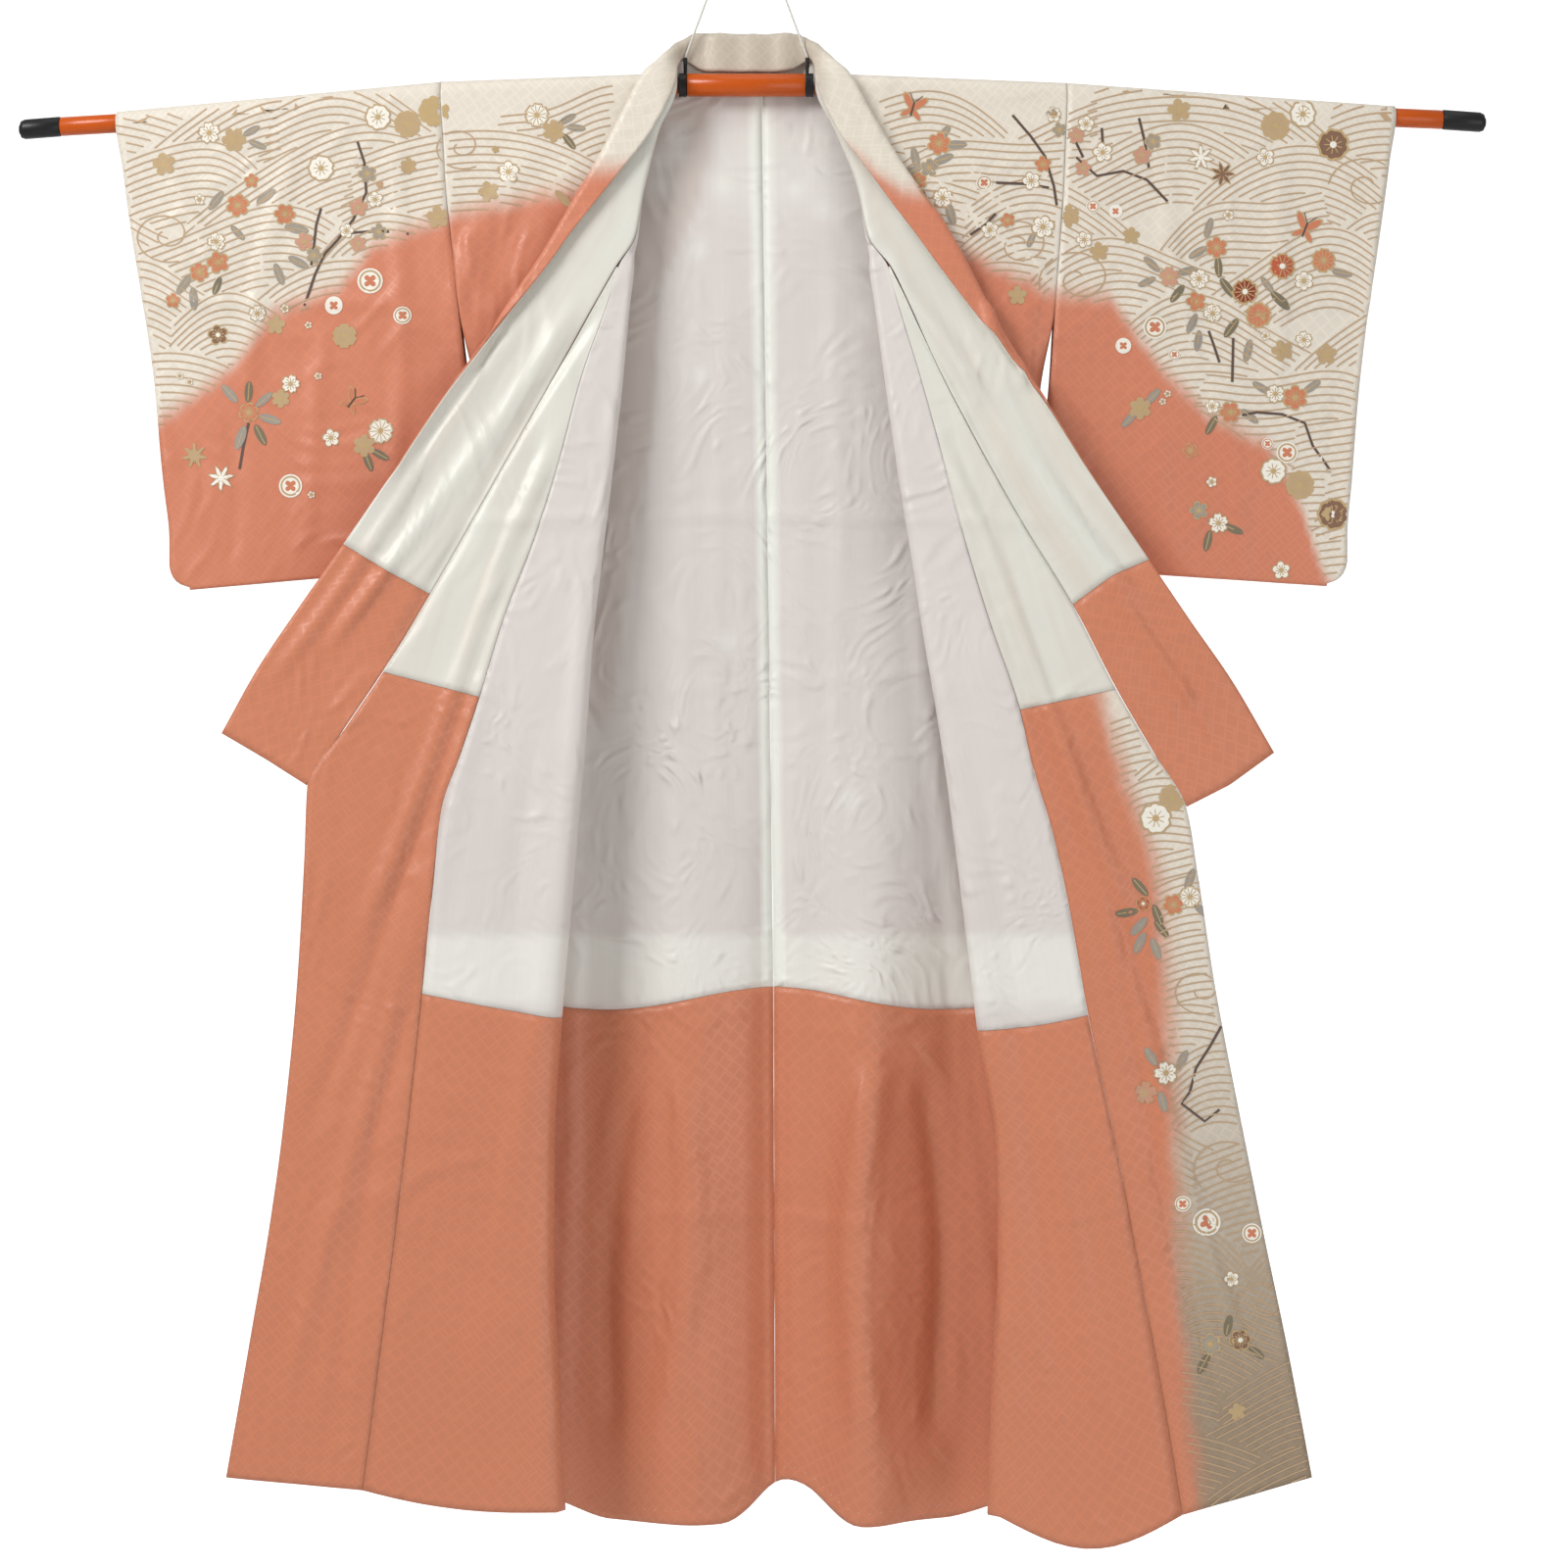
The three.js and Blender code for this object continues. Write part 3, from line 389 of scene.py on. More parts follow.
def back_row(side, drop, inner=None):
    sign = side["sign"]
    width = at(side["lines"], "side", drop)
    slope = arm_fall(side, width) * slope_share(drop)
    middle = at(MIDDLE, "x", drop)
    amount, half_width = at(MIDDLE_LIFT, "amount", drop), at(MIDDLE_LIFT, "halfWidth", drop)
    beside = at(MIDDLE_LIFT, "beside", drop)
    rise = side["rise"] * (drop / BACK_DROPS[0]) ** RISE_POWER

    def place(out, y):
        share = clamp((out - NECK) / (width - NECK))
        lift = amount * bump((sign * out - middle - beside) / half_width)
        lift += rise * smooth((out - width) / HEM_RISE_WIDTH + 1)
        return point(sign, out, y, drop + slope * share - lift)

    start = sign * middle if inner is None else inner
    turn_from = width - SIDE_TURN
    line = []
    for t in np.linspace(0, 1, BACK_SAMPLES):
        out = lerp(start, turn_from, t)
        line.append(place(out, back_depth(sign * out, out, drop, side)))
    y_turn = back_depth(sign * turn_from, turn_from, drop, side)
    y_open = back_depth(sign * width, width, drop, side)
    closed = side_closed(drop)
    y_end = lerp(y_open, at(SIDE_DEPTH, "y", drop), closed)
    for t in np.linspace(0, 1, SIDE_SAMPLES)[1:]:
        angle = math.pi / 2 * t
        out = lerp(SIDE_TURN * t, SIDE_TURN * math.sin(angle), closed)
        line.append(place(turn_from + out, lerp(y_turn, y_end, lerp(t, 1 - math.cos(angle), closed))))
    return along(line, column_steps([(turn_from - start, BACK_COLUMNS), (SIDE_TURN, TURN_COLUMNS)]))


def front_lengths(visible, roll, curl, hidden):
    """Where the columns of a front's row stand: its open part, its roll, what lies behind and the seam."""
    loose = 1 - smooth(curl / LOOSE_CURL)
    first, second, third = FRONT_COLUMNS
    return column_steps([
        (max(visible, lerp(*LEAST_VISIBLE, loose)), first), (max(roll, lerp(*LEAST_ROLL, loose)), second),
        (hidden, third), (SIDE_TURN, TURN_COLUMNS),
    ])


def front_row(side, row):
    """One height of a front: from its okumi seam inwards to the roll, round it and out to the side."""
    sign = side["sign"]
    edge_drop, _, seam_drop, seam, roll_drop, roll = row
    hidden = at(DEPTH, "hidden", roll_drop)
    radius = at(DEPTH, "radius", roll_drop)
    curl = at(DEPTH, "curl", edge_drop)
    side_drop = lerp(edge_drop, roll_drop, smooth((edge_drop - OPENING_END) / SEAM_DROP))
    width = at(side["lines"], "side", side_drop)
    end_drop = side_drop + arm_fall(side, width) * slope_share(side_drop)

    def place(out, y):
        return point(sign, out, y, lerp(roll_drop, end_drop, clamp((out - roll) / (width - roll))))

    line = []
    roll_end = roll + radius
    visible = seam - roll_end if curl == 180 else 0
    if visible > 0:
        seam_y = at(DEPTH, "seam", seam_drop)
        for t in np.linspace(0, 1, ROLL_SAMPLES)[:-1]:
            dip = side["dip"] * math.sin(math.pi * t) * (edge_drop / FRONT_HEM) ** DIP_POWER
            y = lerp(seam_y, hidden - 2 * radius, smooth(t))
            line.append(point(sign, lerp(seam, roll_end, t), y, lerp(seam_drop, roll_drop, t) + dip))
    for t in np.linspace(1, 0, ROLL_SAMPLES):
        angle = math.radians(curl) * t
        out = roll_end - radius * math.sin(angle)
        line.append(point(sign, out, hidden - radius + radius * math.cos(angle), roll_drop))
    turn_from = width - SIDE_TURN
    line += [place(lerp(roll_end, turn_from, t), hidden) for t in np.linspace(0, 1, ROLL_SAMPLES)[1:]]
    closed = side_closed(side_drop)
    y_end = lerp(hidden, at(SIDE_DEPTH, "y", side_drop), closed)
    for t in np.linspace(0, 1, SIDE_SAMPLES)[1:]:
        angle = math.pi / 2 * t
        out = lerp(SIDE_TURN * t, SIDE_TURN * math.sin(angle), closed)
        line.append(place(turn_from + out, lerp(hidden, y_end, 1 - math.cos(angle))))
    return along(line, front_lengths(visible, radius * math.radians(curl), curl, turn_from - roll_end))


def turn_row(side, angle, steps):
    """A row over the rod, from the back at angle 0 to the front at half a turn."""
    width = at(side["lines"], "side", 0)
    row = []
    for step in steps:
        out = lerp(NECK, width, step)
        behind = lerp(BACK_DEPTH["y"][0], FOLD_RADIUS, on_rod(out))
        y = (behind if angle < math.pi / 2 else FOLD_RADIUS) * math.cos(angle)
        row.append(point(side["sign"], out, y, arm_fall(side, out) - FOLD_RADIUS * math.sin(angle)))
    return np.array(row)


def front_rows(side):
    return list(zip(*side["front"].values()))


def body_grid(side):
    """One strip of cloth from the back hem over the shoulder to the front hem."""
    rows = [back_row(side, drop) for drop in BACK_DROPS]
    rows += [back_row(side, drop, out) for out, drop in NECKLINE]
    back = column_steps([(10, BACK_COLUMNS), (1, TURN_COLUMNS)])
    front = front_lengths(0, 0, 0, at(side["lines"], "side", 0) - NECK - SIDE_TURN)
    for k in range(TURN_STEPS + 1):
        share = k / TURN_STEPS
        rows.append(turn_row(side, math.pi * share, lerp(back, front, share)))
    rows += [front_row(side, row) for row in front_rows(side)]
    return np.array(rows)


FRONT_START = len(BACK_DROPS) + len(NECKLINE) + TURN_STEPS + 1


def okumi_grid(side):
    rows = []
    for edge_drop, edge, seam_drop, seam, _, _ in front_rows(side)[OKUMI_TOP:]:
        a = point(side["sign"], seam, at(DEPTH, "seam", seam_drop), seam_drop)
        b = point(side["sign"], edge, at(DEPTH, "edge", edge_drop), edge_drop)
        rows.append([lerp(a, b, t) for t in np.linspace(0, 1, OKUMI_COLUMNS + 1)])
    return np.array(rows)


def turned(seam, away, normal, goal):
    """Leaves a seam along one direction and turns on a small radius until it points at its goal."""
    reach = goal - seam
    aside = normal * math.copysign(1, float(reach @ normal))
    goal_x, goal_y = float(reach @ away), float(reach @ aside)
    points = [seam]
    for k in range(1, COLLAR_TURN_PARTS + 3):
        angle = math.pi * k / COLLAR_TURN_PARTS
        x, y = COLLAR_TURN * math.sin(angle), COLLAR_TURN * (1 - math.cos(angle))
        if math.cos(angle) * (goal_y - y) <= math.sin(angle) * (goal_x - x):
            break
        points.append(seam + away * x + aside * y)
    return points


def collar_row(side, seam, away, normal, station):
    """One width of cloth across the collar: from its seam to its fold, round it and on to its free edge."""
    fold_out, fold_y, fold_drop, edge_out, edge_y, edge_drop = station
    fold = point(side["sign"], fold_out, fold_y, fold_drop)
    edge = point(side["sign"], edge_out, edge_y, edge_drop)
    leg, flap = unit(fold - seam), unit(edge - fold)
    turn = max(math.acos(max(-1.0, min(1.0, float(leg @ flap)))), LEAST_ANGLE)
    inward, across = unit(flap - leg), unit(flap + leg)
    radius = max(COLLAR_FOLD, COLLAR_FOLD_LENGTH / turn)
    centre = fold + inward * radius
    start_dir = -inward * math.cos(turn / 2) - across * math.sin(turn / 2)
    end_dir = -inward * math.sin(turn / 2) + across * math.cos(turn / 2)
    angles = np.linspace(0, turn, FOLD_SAMPLES)
    arc = [centre + radius * (start_dir * math.cos(a) + end_dir * math.sin(a)) for a in angles]
    start = turned(seam, away, normal, arc[0])
    turn_length = COLLAR_TURN * math.pi / COLLAR_TURN_PARTS * (len(start) - 1)
    reach = float(np.linalg.norm(start[-1] - arc[0]))
    near = max(turn_length, COLLAR_STRIP)
    near_columns, leg_columns, fold_columns, flap_columns = COLLAR_COLUMNS
    steps = column_steps([
        (near, near_columns), (turn_length + reach - near, leg_columns),
        (radius * turn, fold_columns), (float(np.linalg.norm(arc[-1] - edge)), flap_columns),
    ])
    return np.concatenate(([seam - away * COLLAR_ROOT], along([*start, *arc, edge], steps)))


def collar_rows(side, body, okumi):
    """Collar rows of one side from the middle of the back to the collar's end."""
    seam_rows = [row[:4] for row in body[len(BACK_DROPS) - 1:FRONT_START + OKUMI_TOP]]
    seam_rows += [row[::-1][:4] for row in okumi[:len(side["collar"]) - OKUMI_TOP]]
    seam_rows = np.array(seam_rows)
    normals = normals_of(seam_rows)
    last = len(seam_rows) - 1
    rows = []
    for i, station in enumerate(NECK_COLLAR + side["collar"]):
        row, normal = seam_rows[i], normals[i, 0]
        beside = seam_rows[min(i + 1, last), 0] - seam_rows[max(i - 1, 0), 0]
        away = unit(np.cross(beside, normal))
        hint = unit(row[0] - row[1]) + np.array(UPWARD)
        away = away * math.copysign(1, float(away @ hint))
        rows.append(collar_row(side, row[0] + away * COLLAR_GAP, away, normal, station))
    return rows


def sleeve_grid(side):
    """A sleeve as a closed run of rows: up its back, over the rod and down its front."""
    sleeve, sign = side["sleeve"], side["sign"]
    columns = np.linspace(0, 1, SLEEVE_COLUMNS + 1)

    def edges(drop):
        inward = 0 if drop < SLEEVE_STRAIGHT else at(CORNER, "in", drop)
        return at(sleeve, "inner", drop), at(sleeve, "outer", min(drop, SLEEVE_STRAIGHT)) - inward

    def depth(drop, t):
        inner = at(CORNER, "depth", drop) if drop > SLEEVE_STRAIGHT else at(sleeve, "innerDepth", drop)
        return lerp(inner, at(sleeve, "outerDepth", min(drop, SLEEVE_STRAIGHT)), t)

    def flat(drop, face):
        row = []
        for t in columns:
            out = lerp(*edges(drop), t)
            row.append(point(sign, out, face * depth(drop, t), drop + arm_fall(side, out)))
        return row

    def over(angle):
        row = []
        for t in columns:
            out, radius = lerp(*edges(0), t), depth(0, t)
            drop = arm_fall(side, out) - radius * math.sin(angle)
            row.append(point(sign, out, radius * math.cos(angle), drop))
        return row

    lower = [*sleeve["drop"][3:], *CORNER["drop"]]
    rows = [flat(drop, 1) for drop in reversed([*SLEEVE_BACK_DROPS, *lower])]
    rows += [over(math.pi * k / TURN_STEPS) for k in range(TURN_STEPS + 1)]
    rows += [flat(drop, -1) for drop in [*SLEEVE_FRONT_DROPS, *lower]]
    rows.append(flat(SLEEVE_BOTTOM, 0))
    return np.array(rows)


def slopes(marks, rows):
    """Slopes of curves through rows at marks, which never overshoot the rows."""
    step = np.diff(marks).reshape((-1,) + (1,) * (rows.ndim - 1))
    rise = np.diff(rows, axis=0) / step
    same = rise[:-1] * rise[1:] > 0
    first, second = 2 * step[1:] + step[:-1], step[1:] + 2 * step[:-1]
    low, high = np.where(same, rise[:-1], 1), np.where(same, rise[1:], 1)
    inner = np.where(same, (first + second) / (first / low + second / high), 0)
    return np.concatenate((rise[:1], inner, rise[-1:]))


def between(marks, rows, fine):
    """Rows at finer marks, on smooth curves through the given rows."""
    i = np.clip(np.searchsorted(marks, fine, side="right") - 1, 0, len(marks) - 2)
    shape = (-1,) + (1,) * (rows.ndim - 1)
    step = (marks[i + 1] - marks[i]).reshape(shape)
    t = (fine - marks[i]).reshape(shape) / step
    slope = slopes(marks, rows)
    start = rows[i] * (1 + 2 * t) * (1 - t) ** 2 + step * slope[i] * t * (1 - t) ** 2
    end = rows[i + 1] * t ** 2 * (3 - 2 * t) - step * slope[i + 1] * t ** 2 * (1 - t)
    return start + end


def fine_marks(marks):
    """Finer marks, and where each given mark stands among them."""
    fine, index = [], []
    for a, b in zip(marks, marks[1:]):
        index.append(len(fine))
        fine += list(np.linspace(a, b, max(2, math.ceil((b - a) / ROW_STEP)), endpoint=False))
    return np.array([*fine, marks[-1]]), [*index, len(fine)]


def marks_of(line):
    return np.concatenate(([0], np.cumsum(np.linalg.norm(np.diff(line, axis=0), axis=1))))


class Surface:
    """A fine grid in the gap between silk and lining, with flat coordinates along it in millimetres."""

    def __init__(self, rows, marks=None, closed=False):
        if closed:
            rows = np.concatenate((rows, rows[:1]))
            marks = marks_of(rows[:, rows.shape[1] // 2])
        fine, self.index = fine_marks(marks)
        self.points = between(marks, rows, fine)
        self.closed = closed
        if closed:
            self.points, fine = self.points[:-1], fine[:-1]
        self.v = fine - fine[0]
        across = np.linalg.norm(np.diff(self.points, axis=1), axis=2)
        self.u = np.concatenate((np.zeros((len(across), 1)), np.cumsum(across, axis=1)), axis=1)
        self.normals = normals_of(self.points, closed)
        self.dye = np.ones(self.u.shape)
        self.tone = np.zeros(self.u.shape)
        self.grey = np.zeros(self.u.shape)

    def push(self, heights):
        """Moves the cloth towards the viewer by heights, and away from them where they are negative."""
        shift = -self.normals[..., 1] * heights
        self.points = self.points + self.normals * shift[..., None]
        self.normals = normals_of(self.points, self.closed)


def pulled(points, edges):
    """Points with the open edges of a panel moved back by half the gap of a seam."""
    points = points.copy()
    half = SEAM_GAP / 2

    def pull(edge, inner):
        step = inner - edge
        edge += step / np.maximum(np.linalg.norm(step, axis=-1, keepdims=True), 1e-9) * half

    if "first" in edges:
        pull(points[:, 0], points[:, 1].copy())
    if "last" in edges:
        pull(points[:, -1], points[:, -2].copy())
    if "start" in edges:
        pull(points[0], points[1].copy())
    if "end" in edges:
        pull(points[-1], points[-2].copy())
    return points


def wall_faces(rows, columns, closed):
    """Faces of a wall of cloth whose near grid comes before its far grid."""
    def corner(side, i, j):
        return (side * rows + i % rows) * columns + j

    i, j = np.meshgrid(np.arange(rows if closed else rows - 1), np.arange(columns - 1), indexing="ij")
    i, j = i.ravel(), j.ravel()
    k = np.arange(rows if closed else rows - 1)
    last = np.full(len(k), columns - 1)
    first = np.zeros(len(k), int)
    quads = [
        (corner(1, i, j), corner(1, i, j + 1), corner(1, i + 1, j + 1), corner(1, i + 1, j)),
        (corner(0, i, j), corner(0, i + 1, j), corner(0, i + 1, j + 1), corner(0, i, j + 1)),
        (corner(0, k, first), corner(1, k, first), corner(1, k + 1, first), corner(0, k + 1, first)),
        (corner(0, k, last), corner(0, k + 1, last), corner(1, k + 1, last), corner(1, k, last)),
    ]
    if not closed:
        c = np.arange(columns - 1)
        low, high = np.zeros(len(c), int), np.full(len(c), rows - 1)
        quads.append((corner(0, low, c), corner(0, low, c + 1), corner(1, low, c + 1), corner(1, low, c)))
        quads.append((corner(0, high, c), corner(1, high, c), corner(1, high, c + 1), corner(0, high, c + 1)))
    return np.concatenate([np.stack(quad, axis=1) for quad in quads])


def linked(name, data):
    """A new object in the scene."""
    thing = bpy.data.objects.new(name, data)
    bpy.context.scene.collection.objects.link(thing)
    return thing


def new_object(name, points, faces, material):
    """A smooth mesh object; points in millimetres."""
    mesh = bpy.data.meshes.new(name)
    mesh.from_pydata((np.asarray(points).reshape(-1, 3) * MM).tolist(), [], list(faces))
    mesh.materials.append(material)
    mesh.shade_smooth()
    return linked(name, mesh)


def vertex_values(mesh, name, values):
    layer = mesh.attributes.new(name, "FLOAT", "POINT")
    layer.data.foreach_set("value", np.asarray(values, np.float32).ravel())


def vertex_uv(mesh, u, v):
    """A UV layer from values at the vertices, in metres of cloth."""
    layer = mesh.uv_layers.new(name="UVMap")
    index = np.zeros(len(mesh.loops), np.int32)
    mesh.loops.foreach_get("vertex_index", index)
    pairs = np.stack((np.ravel(u)[index], np.ravel(v)[index]), axis=1) * MM
    layer.data.foreach_set("uv", pairs.astype(np.float32).ravel())


CLOTHS = {}
DRAWINGS = {}


def keep_drawing(node, thing):
    if thing is not None:
        DRAWINGS.setdefault(node, []).append(thing)


def flat_size(points):
    """Width, length and area of a stretch of cloth laid flat, in metres."""
    across = np.linalg.norm(np.diff(points, axis=1), axis=2)
    down = np.linalg.norm(np.diff(points, axis=0), axis=2)
    width, length = across.sum(axis=1).max() * MM, down.sum(axis=0).max() * MM
    cells = np.cross(points[1:, :-1] - points[:-1, :-1], points[:-1, 1:] - points[:-1, :-1])
    area = np.linalg.norm(cells, axis=2).sum() * MM * MM
    return (float(width), float(length)), float(min(area, width * length))


def cloth(node, surface, facing, ply, look, rows=None, columns=None, edges=(), middle=0):
    """One piece of cloth between two distances from a surface, in place of a node of the frame."""
    top, bottom = rows or (0, len(surface.points) - 1)
    first, last = columns or (0, surface.points.shape[1] - 1)
    window = (slice(top, bottom + 1), slice(first, last + 1))
    normals = surface.normals[window].copy()
    level = max(0, middle - top)
    normals[:level, 0, 0] = 0
    normals /= np.maximum(np.linalg.norm(normals, axis=2, keepdims=True), 1e-9)
    points = pulled(surface.points[window], edges)
    near, far = ply if facing > 0 else (-ply[1], -ply[0])
    both = np.concatenate((points + normals * near, points + normals * far))
    rows_made, columns_made = points.shape[:2]
    faces = wall_faces(rows_made, columns_made, surface.closed).tolist()
    thing = new_object("cloth_" + node, both, faces, looks()[look])
    u = surface.u[window]
    v = np.broadcast_to(surface.v[window[0], None], u.shape)
    vertex_uv(thing.data, np.concatenate((u, u)), np.concatenate((v, v)))
    for name in ("dye", "tone", "grey"):
        values = getattr(surface, name)[window]
        vertex_values(thing.data, name, np.concatenate((values, values)))
    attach(thing, "root")
    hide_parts(node)
    CLOTHS[node] = (thing, *flat_size(points))


def linear(red, green, blue):
    """A colour as seen, 0 to 255, as linear values."""
    parts = [c / 255 for c in (red, green, blue)]
    return (*[c / 12.92 if c <= 0.04045 else ((c + 0.055) / 1.055) ** 2.4 for c in parts], 1.0)


# Where the photograph's frame lies: millimetres a pixel at the rod, and the camera's line and distance
FRAME_MIDDLE = 800
PIXEL = 1.02
CAMERA_X, CAMERA_DROP, CAMERA_DISTANCE = 39.27, 727.26, 3200

# Lines where cream turns to salmon, in pixels: down each x on the shoulders and sleeves and on the collar,
# and across each y on the right okumi
SHOULDER_DYE = (
    (100, 440), (160, 430), (230, 380), (280, 320), (350, 290), (380, 250), (470, 215), (600, 190),
    (780, 205), (900, 215), (990, 260), (1080, 300), (1130, 300), (1180, 370), (1230, 420), (1290, 450),
    (1330, 520), (1350, 590), (1420, 660),
)
COLLAR_DYE = ((500, 174), (640, 172), (780, 165), (860, 150), (920, 196))
OKUMI_DYE = (
    (690, 1120), (800, 1150), (870, 1180), (950, 1190), (1050, 1195), (1150, 1200), (1300, 1205),
    (1450, 1215), (1520, 1225),
)
DYE_SOFTNESS = 34
WAVES_FADE = 0.85

# Painted shade, a greyish brown, on the back lining beside the left front, from the front's edge to this line
SHADE_EDGE = (
    (100, 729), (158, 722), (197, 716), (237, 700), (279, 680), (299, 672), (420, 668), (618, 637),
    (720, 626),
)
SEAM_BAND = ((103, 777), (1005, 789), (1508, 791))
# Limits of tones as (pixel, pixels over which they fade); BEHIND is a depth in millimetres
BEHIND = (8, 4)
SHADE_SOFTNESS = 9
SHADE_BOTTOM = (760, 60)
SHADE_RIGHT = (780, 60)
SEAM_HALF = (10, 3)
WHITE_BAND = ((948, 12), (1042, 30))
PATCH = ((128, 6), (260, 80), (727, 6), (852, 6))
SHADE_TONE, PATCH_TONE, SEAM_TONE, BAND_TONE, SPOT_TONE = 0.4, 0.35, 1.1, 0.7, 0.5
SPOT_SPREAD = 0.6
SHOW_THROUGH = (
    (670, 164, 14), (690, 138, 12), (691, 158, 12), (675, 190, 14), (736, 190, 17), (713, 255, 16),
    (811, 194, 14), (713, 383, 13), (742, 655, 14), (865, 815, 14), (841, 214, 12), (885, 325, 14),
)

# Soft creases as they show: from x, y to x, y in pixels, half width in pixels, height in millimetres
CREASES = (
    (430, 532, 1130, 528, 7, 1.1), (120, 300, 450, 318, 7, 0.8), (1130, 322, 1470, 300, 7, 0.8),
    (660, 700, 980, 690, 8, 0.7), (600, 1240, 1010, 1250, 8, 0.8),
    (545, 120, 460, 330, 16, 1.6), (590, 150, 520, 300, 12, 1.3), (930, 150, 1075, 300, 14, 1.8),
    (960, 120, 1040, 230, 12, 1.4), (1005, 300, 1035, 400, 10, 2.2), (1062, 300, 1035, 402, 10, 2.0),
    (905, 250, 1000, 420, 14, 1.5), (470, 230, 505, 330, 10, 1.6), (520, 330, 488, 382, 9, -1.4),
    (600, 290, 330, 680, 13, 2.6), (622, 300, 380, 690, 12, -2.0), (560, 300, 262, 710, 12, 1.9),
    (585, 420, 350, 980, 15, 2.6), (560, 480, 300, 1180, 14, -2.0), (500, 650, 285, 1480, 16, 2.2),
    (445, 850, 330, 1500, 15, -1.8), (600, 560, 520, 1300, 15, 2.2), (560, 700, 450, 1500, 14, -1.8),
    (598, 900, 560, 1500, 12, 1.6), (520, 900, 480, 1500, 12, 1.5),
    (930, 290, 1170, 640, 13, 2.6), (915, 300, 1120, 640, 12, -1.9), (960, 300, 1240, 760, 12, 1.9),
    (940, 420, 1180, 980, 15, 2.6), (980, 500, 1230, 1180, 14, -2.0), (1060, 700, 1290, 1450, 16, 2.4),
    (1130, 900, 1250, 1500, 14, -1.8), (930, 560, 1030, 1300, 14, 2.2), (990, 760, 1100, 1480, 14, -1.8),
    (960, 900, 1040, 1500, 12, 1.6), (1060, 1100, 1150, 1510, 12, 1.5),
    (660, 600, 740, 700, 9, 0.9), (700, 560, 800, 690, 9, 0.8), (830, 600, 900, 720, 9, 0.9),
    (690, 760, 760, 880, 9, 0.8), (850, 780, 920, 900, 9, 0.8), (885, 1060, 880, 1500, 26, 5.0),
    (945, 1080, 960, 1490, 20, -4.0), (700, 1080, 690, 1470, 22, 3.0), (640, 1100, 620, 1480, 18, -2.4),
    (740, 220, 735, 900, 12, 0.8), (845, 200, 860, 950, 12, 0.9), (700, 300, 690, 940, 12, 0.8),
    (170, 130, 230, 330, 14, 1.0), (300, 110, 250, 420, 16, 1.2), (410, 120, 400, 520, 14, 1.2),
    (340, 330, 300, 570, 14, 1.1), (150, 380, 210, 560, 12, 0.9), (235, 420, 240, 590, 12, -0.9),
    (1180, 120, 1220, 380, 14, 1.2), (1320, 110, 1290, 420, 16, 1.2), (1420, 130, 1390, 420, 14, 1.0),
    (1240, 380, 1270, 590, 14, 1.1), (1370, 380, 1350, 600, 12, -0.9), (1180, 430, 1200, 580, 12, 1.0),
)
CREASE_END = 0.16  # share of a crease over which it fades at each end
CREASE_LIFT = 2.3
CREASE_HALF = 10
CREASE_BEND = 0.45
CREASE_TURNS = 5
RIPPLES = ((0.061, 0.012, 0.45), (0.027, -0.019, 0.6), (0.105, 0.031, 0.22), (-0.043, 0.058, 0.2))
RIPPLE_SHIFT = 40
RIPPLE_TURN = 0.4
ON_ROD = (35, 70)
# Small folds of the collar at the neck, and a painted shade that greys its silk there, which end below and to
# either side
NECK_MIDDLE = 761
NECK_FOLDS = (0.19, 1.7)
FOLDS_BELOW, FOLDS_BESIDE = (60, 40), (70, 20)
NECK_SHADE = 0.45
NECK_SHADE_BELOW, NECK_SHADE_BESIDE = (80, 60), (90, 20)
OKUMI_GREY = (900, 600)


def seen_at(points):
    """Where points show, in the pixels of the photograph's 1600 x 1600 frame."""
    near = PIXEL * (1 + points[..., 1] / CAMERA_DISTANCE)
    x = FRAME_MIDDLE + (points[..., 0] - CAMERA_X) / near
    y = FRAME_MIDDLE + (-ROD_DROP - points[..., 2] - CAMERA_DROP) / near
    return x, y


def soft_step(t):
    """From 0 to 1 with soft ends, for whole arrays."""
    t = np.clip(t, 0, 1)
    return t * t * (3 - 2 * t)


def after(value, start, width):
    """From 0 before a start to 1 past its width."""
    return soft_step((value - start) / width)


def before(value, end, width):
    """From 1 well before an end to 0 past it."""
    return soft_step((end - value) / width)


def line_at(line, where):
    marks, values = zip(*line)
    return np.interp(where, marks, values)


def shoulder_dye(x, y):
    """Share of salmon on the shoulders, sleeves and back."""
    return soft_step((y - line_at(SHOULDER_DYE, x)) / DYE_SOFTNESS + 0.5)


def collar_dye(x, y):
    return soft_step((y - line_at(COLLAR_DYE, x)) / DYE_SOFTNESS + 0.5)


def okumi_dye(x, y):
    """Share of salmon on the right okumi, whose free edge is cream."""
    return 1 - soft_step((x - line_at(OKUMI_DYE, y)) / DYE_SOFTNESS + 0.5)


def creases(x, y, drop):
    """How far the creases stand towards the viewer, in millimetres."""
    heights = np.zeros(x.shape)
    for x0, y0, x1, y1, width, height in CREASES:
        half = max(width, CREASE_HALF)
        length = math.hypot(x1 - x0, y1 - y0)
        along_x, along_y = (x1 - x0) / length, (y1 - y0) / length
        share = ((x - x0) * along_x + (y - y0) * along_y) / length
        bend = CREASE_BEND * half * np.sin(CREASE_TURNS * share + x0)
        off = np.abs((x - x0) * along_y - (y - y0) * along_x + bend) / half
        ends = soft_step(share / CREASE_END) * soft_step((1 - share) / CREASE_END)
        swell = (1 + np.cos(np.pi * np.clip(off, 0, 1))) / 2
        heights += CREASE_LIFT * height * ends * swell
    for across, down, height in RIPPLES:
        first = np.sin(across * x + down * y + RIPPLE_SHIFT * across)
        heights += height * first * np.cos(down * x - RIPPLE_TURN * across * y)
    return heights * after(drop, *ON_ROD)


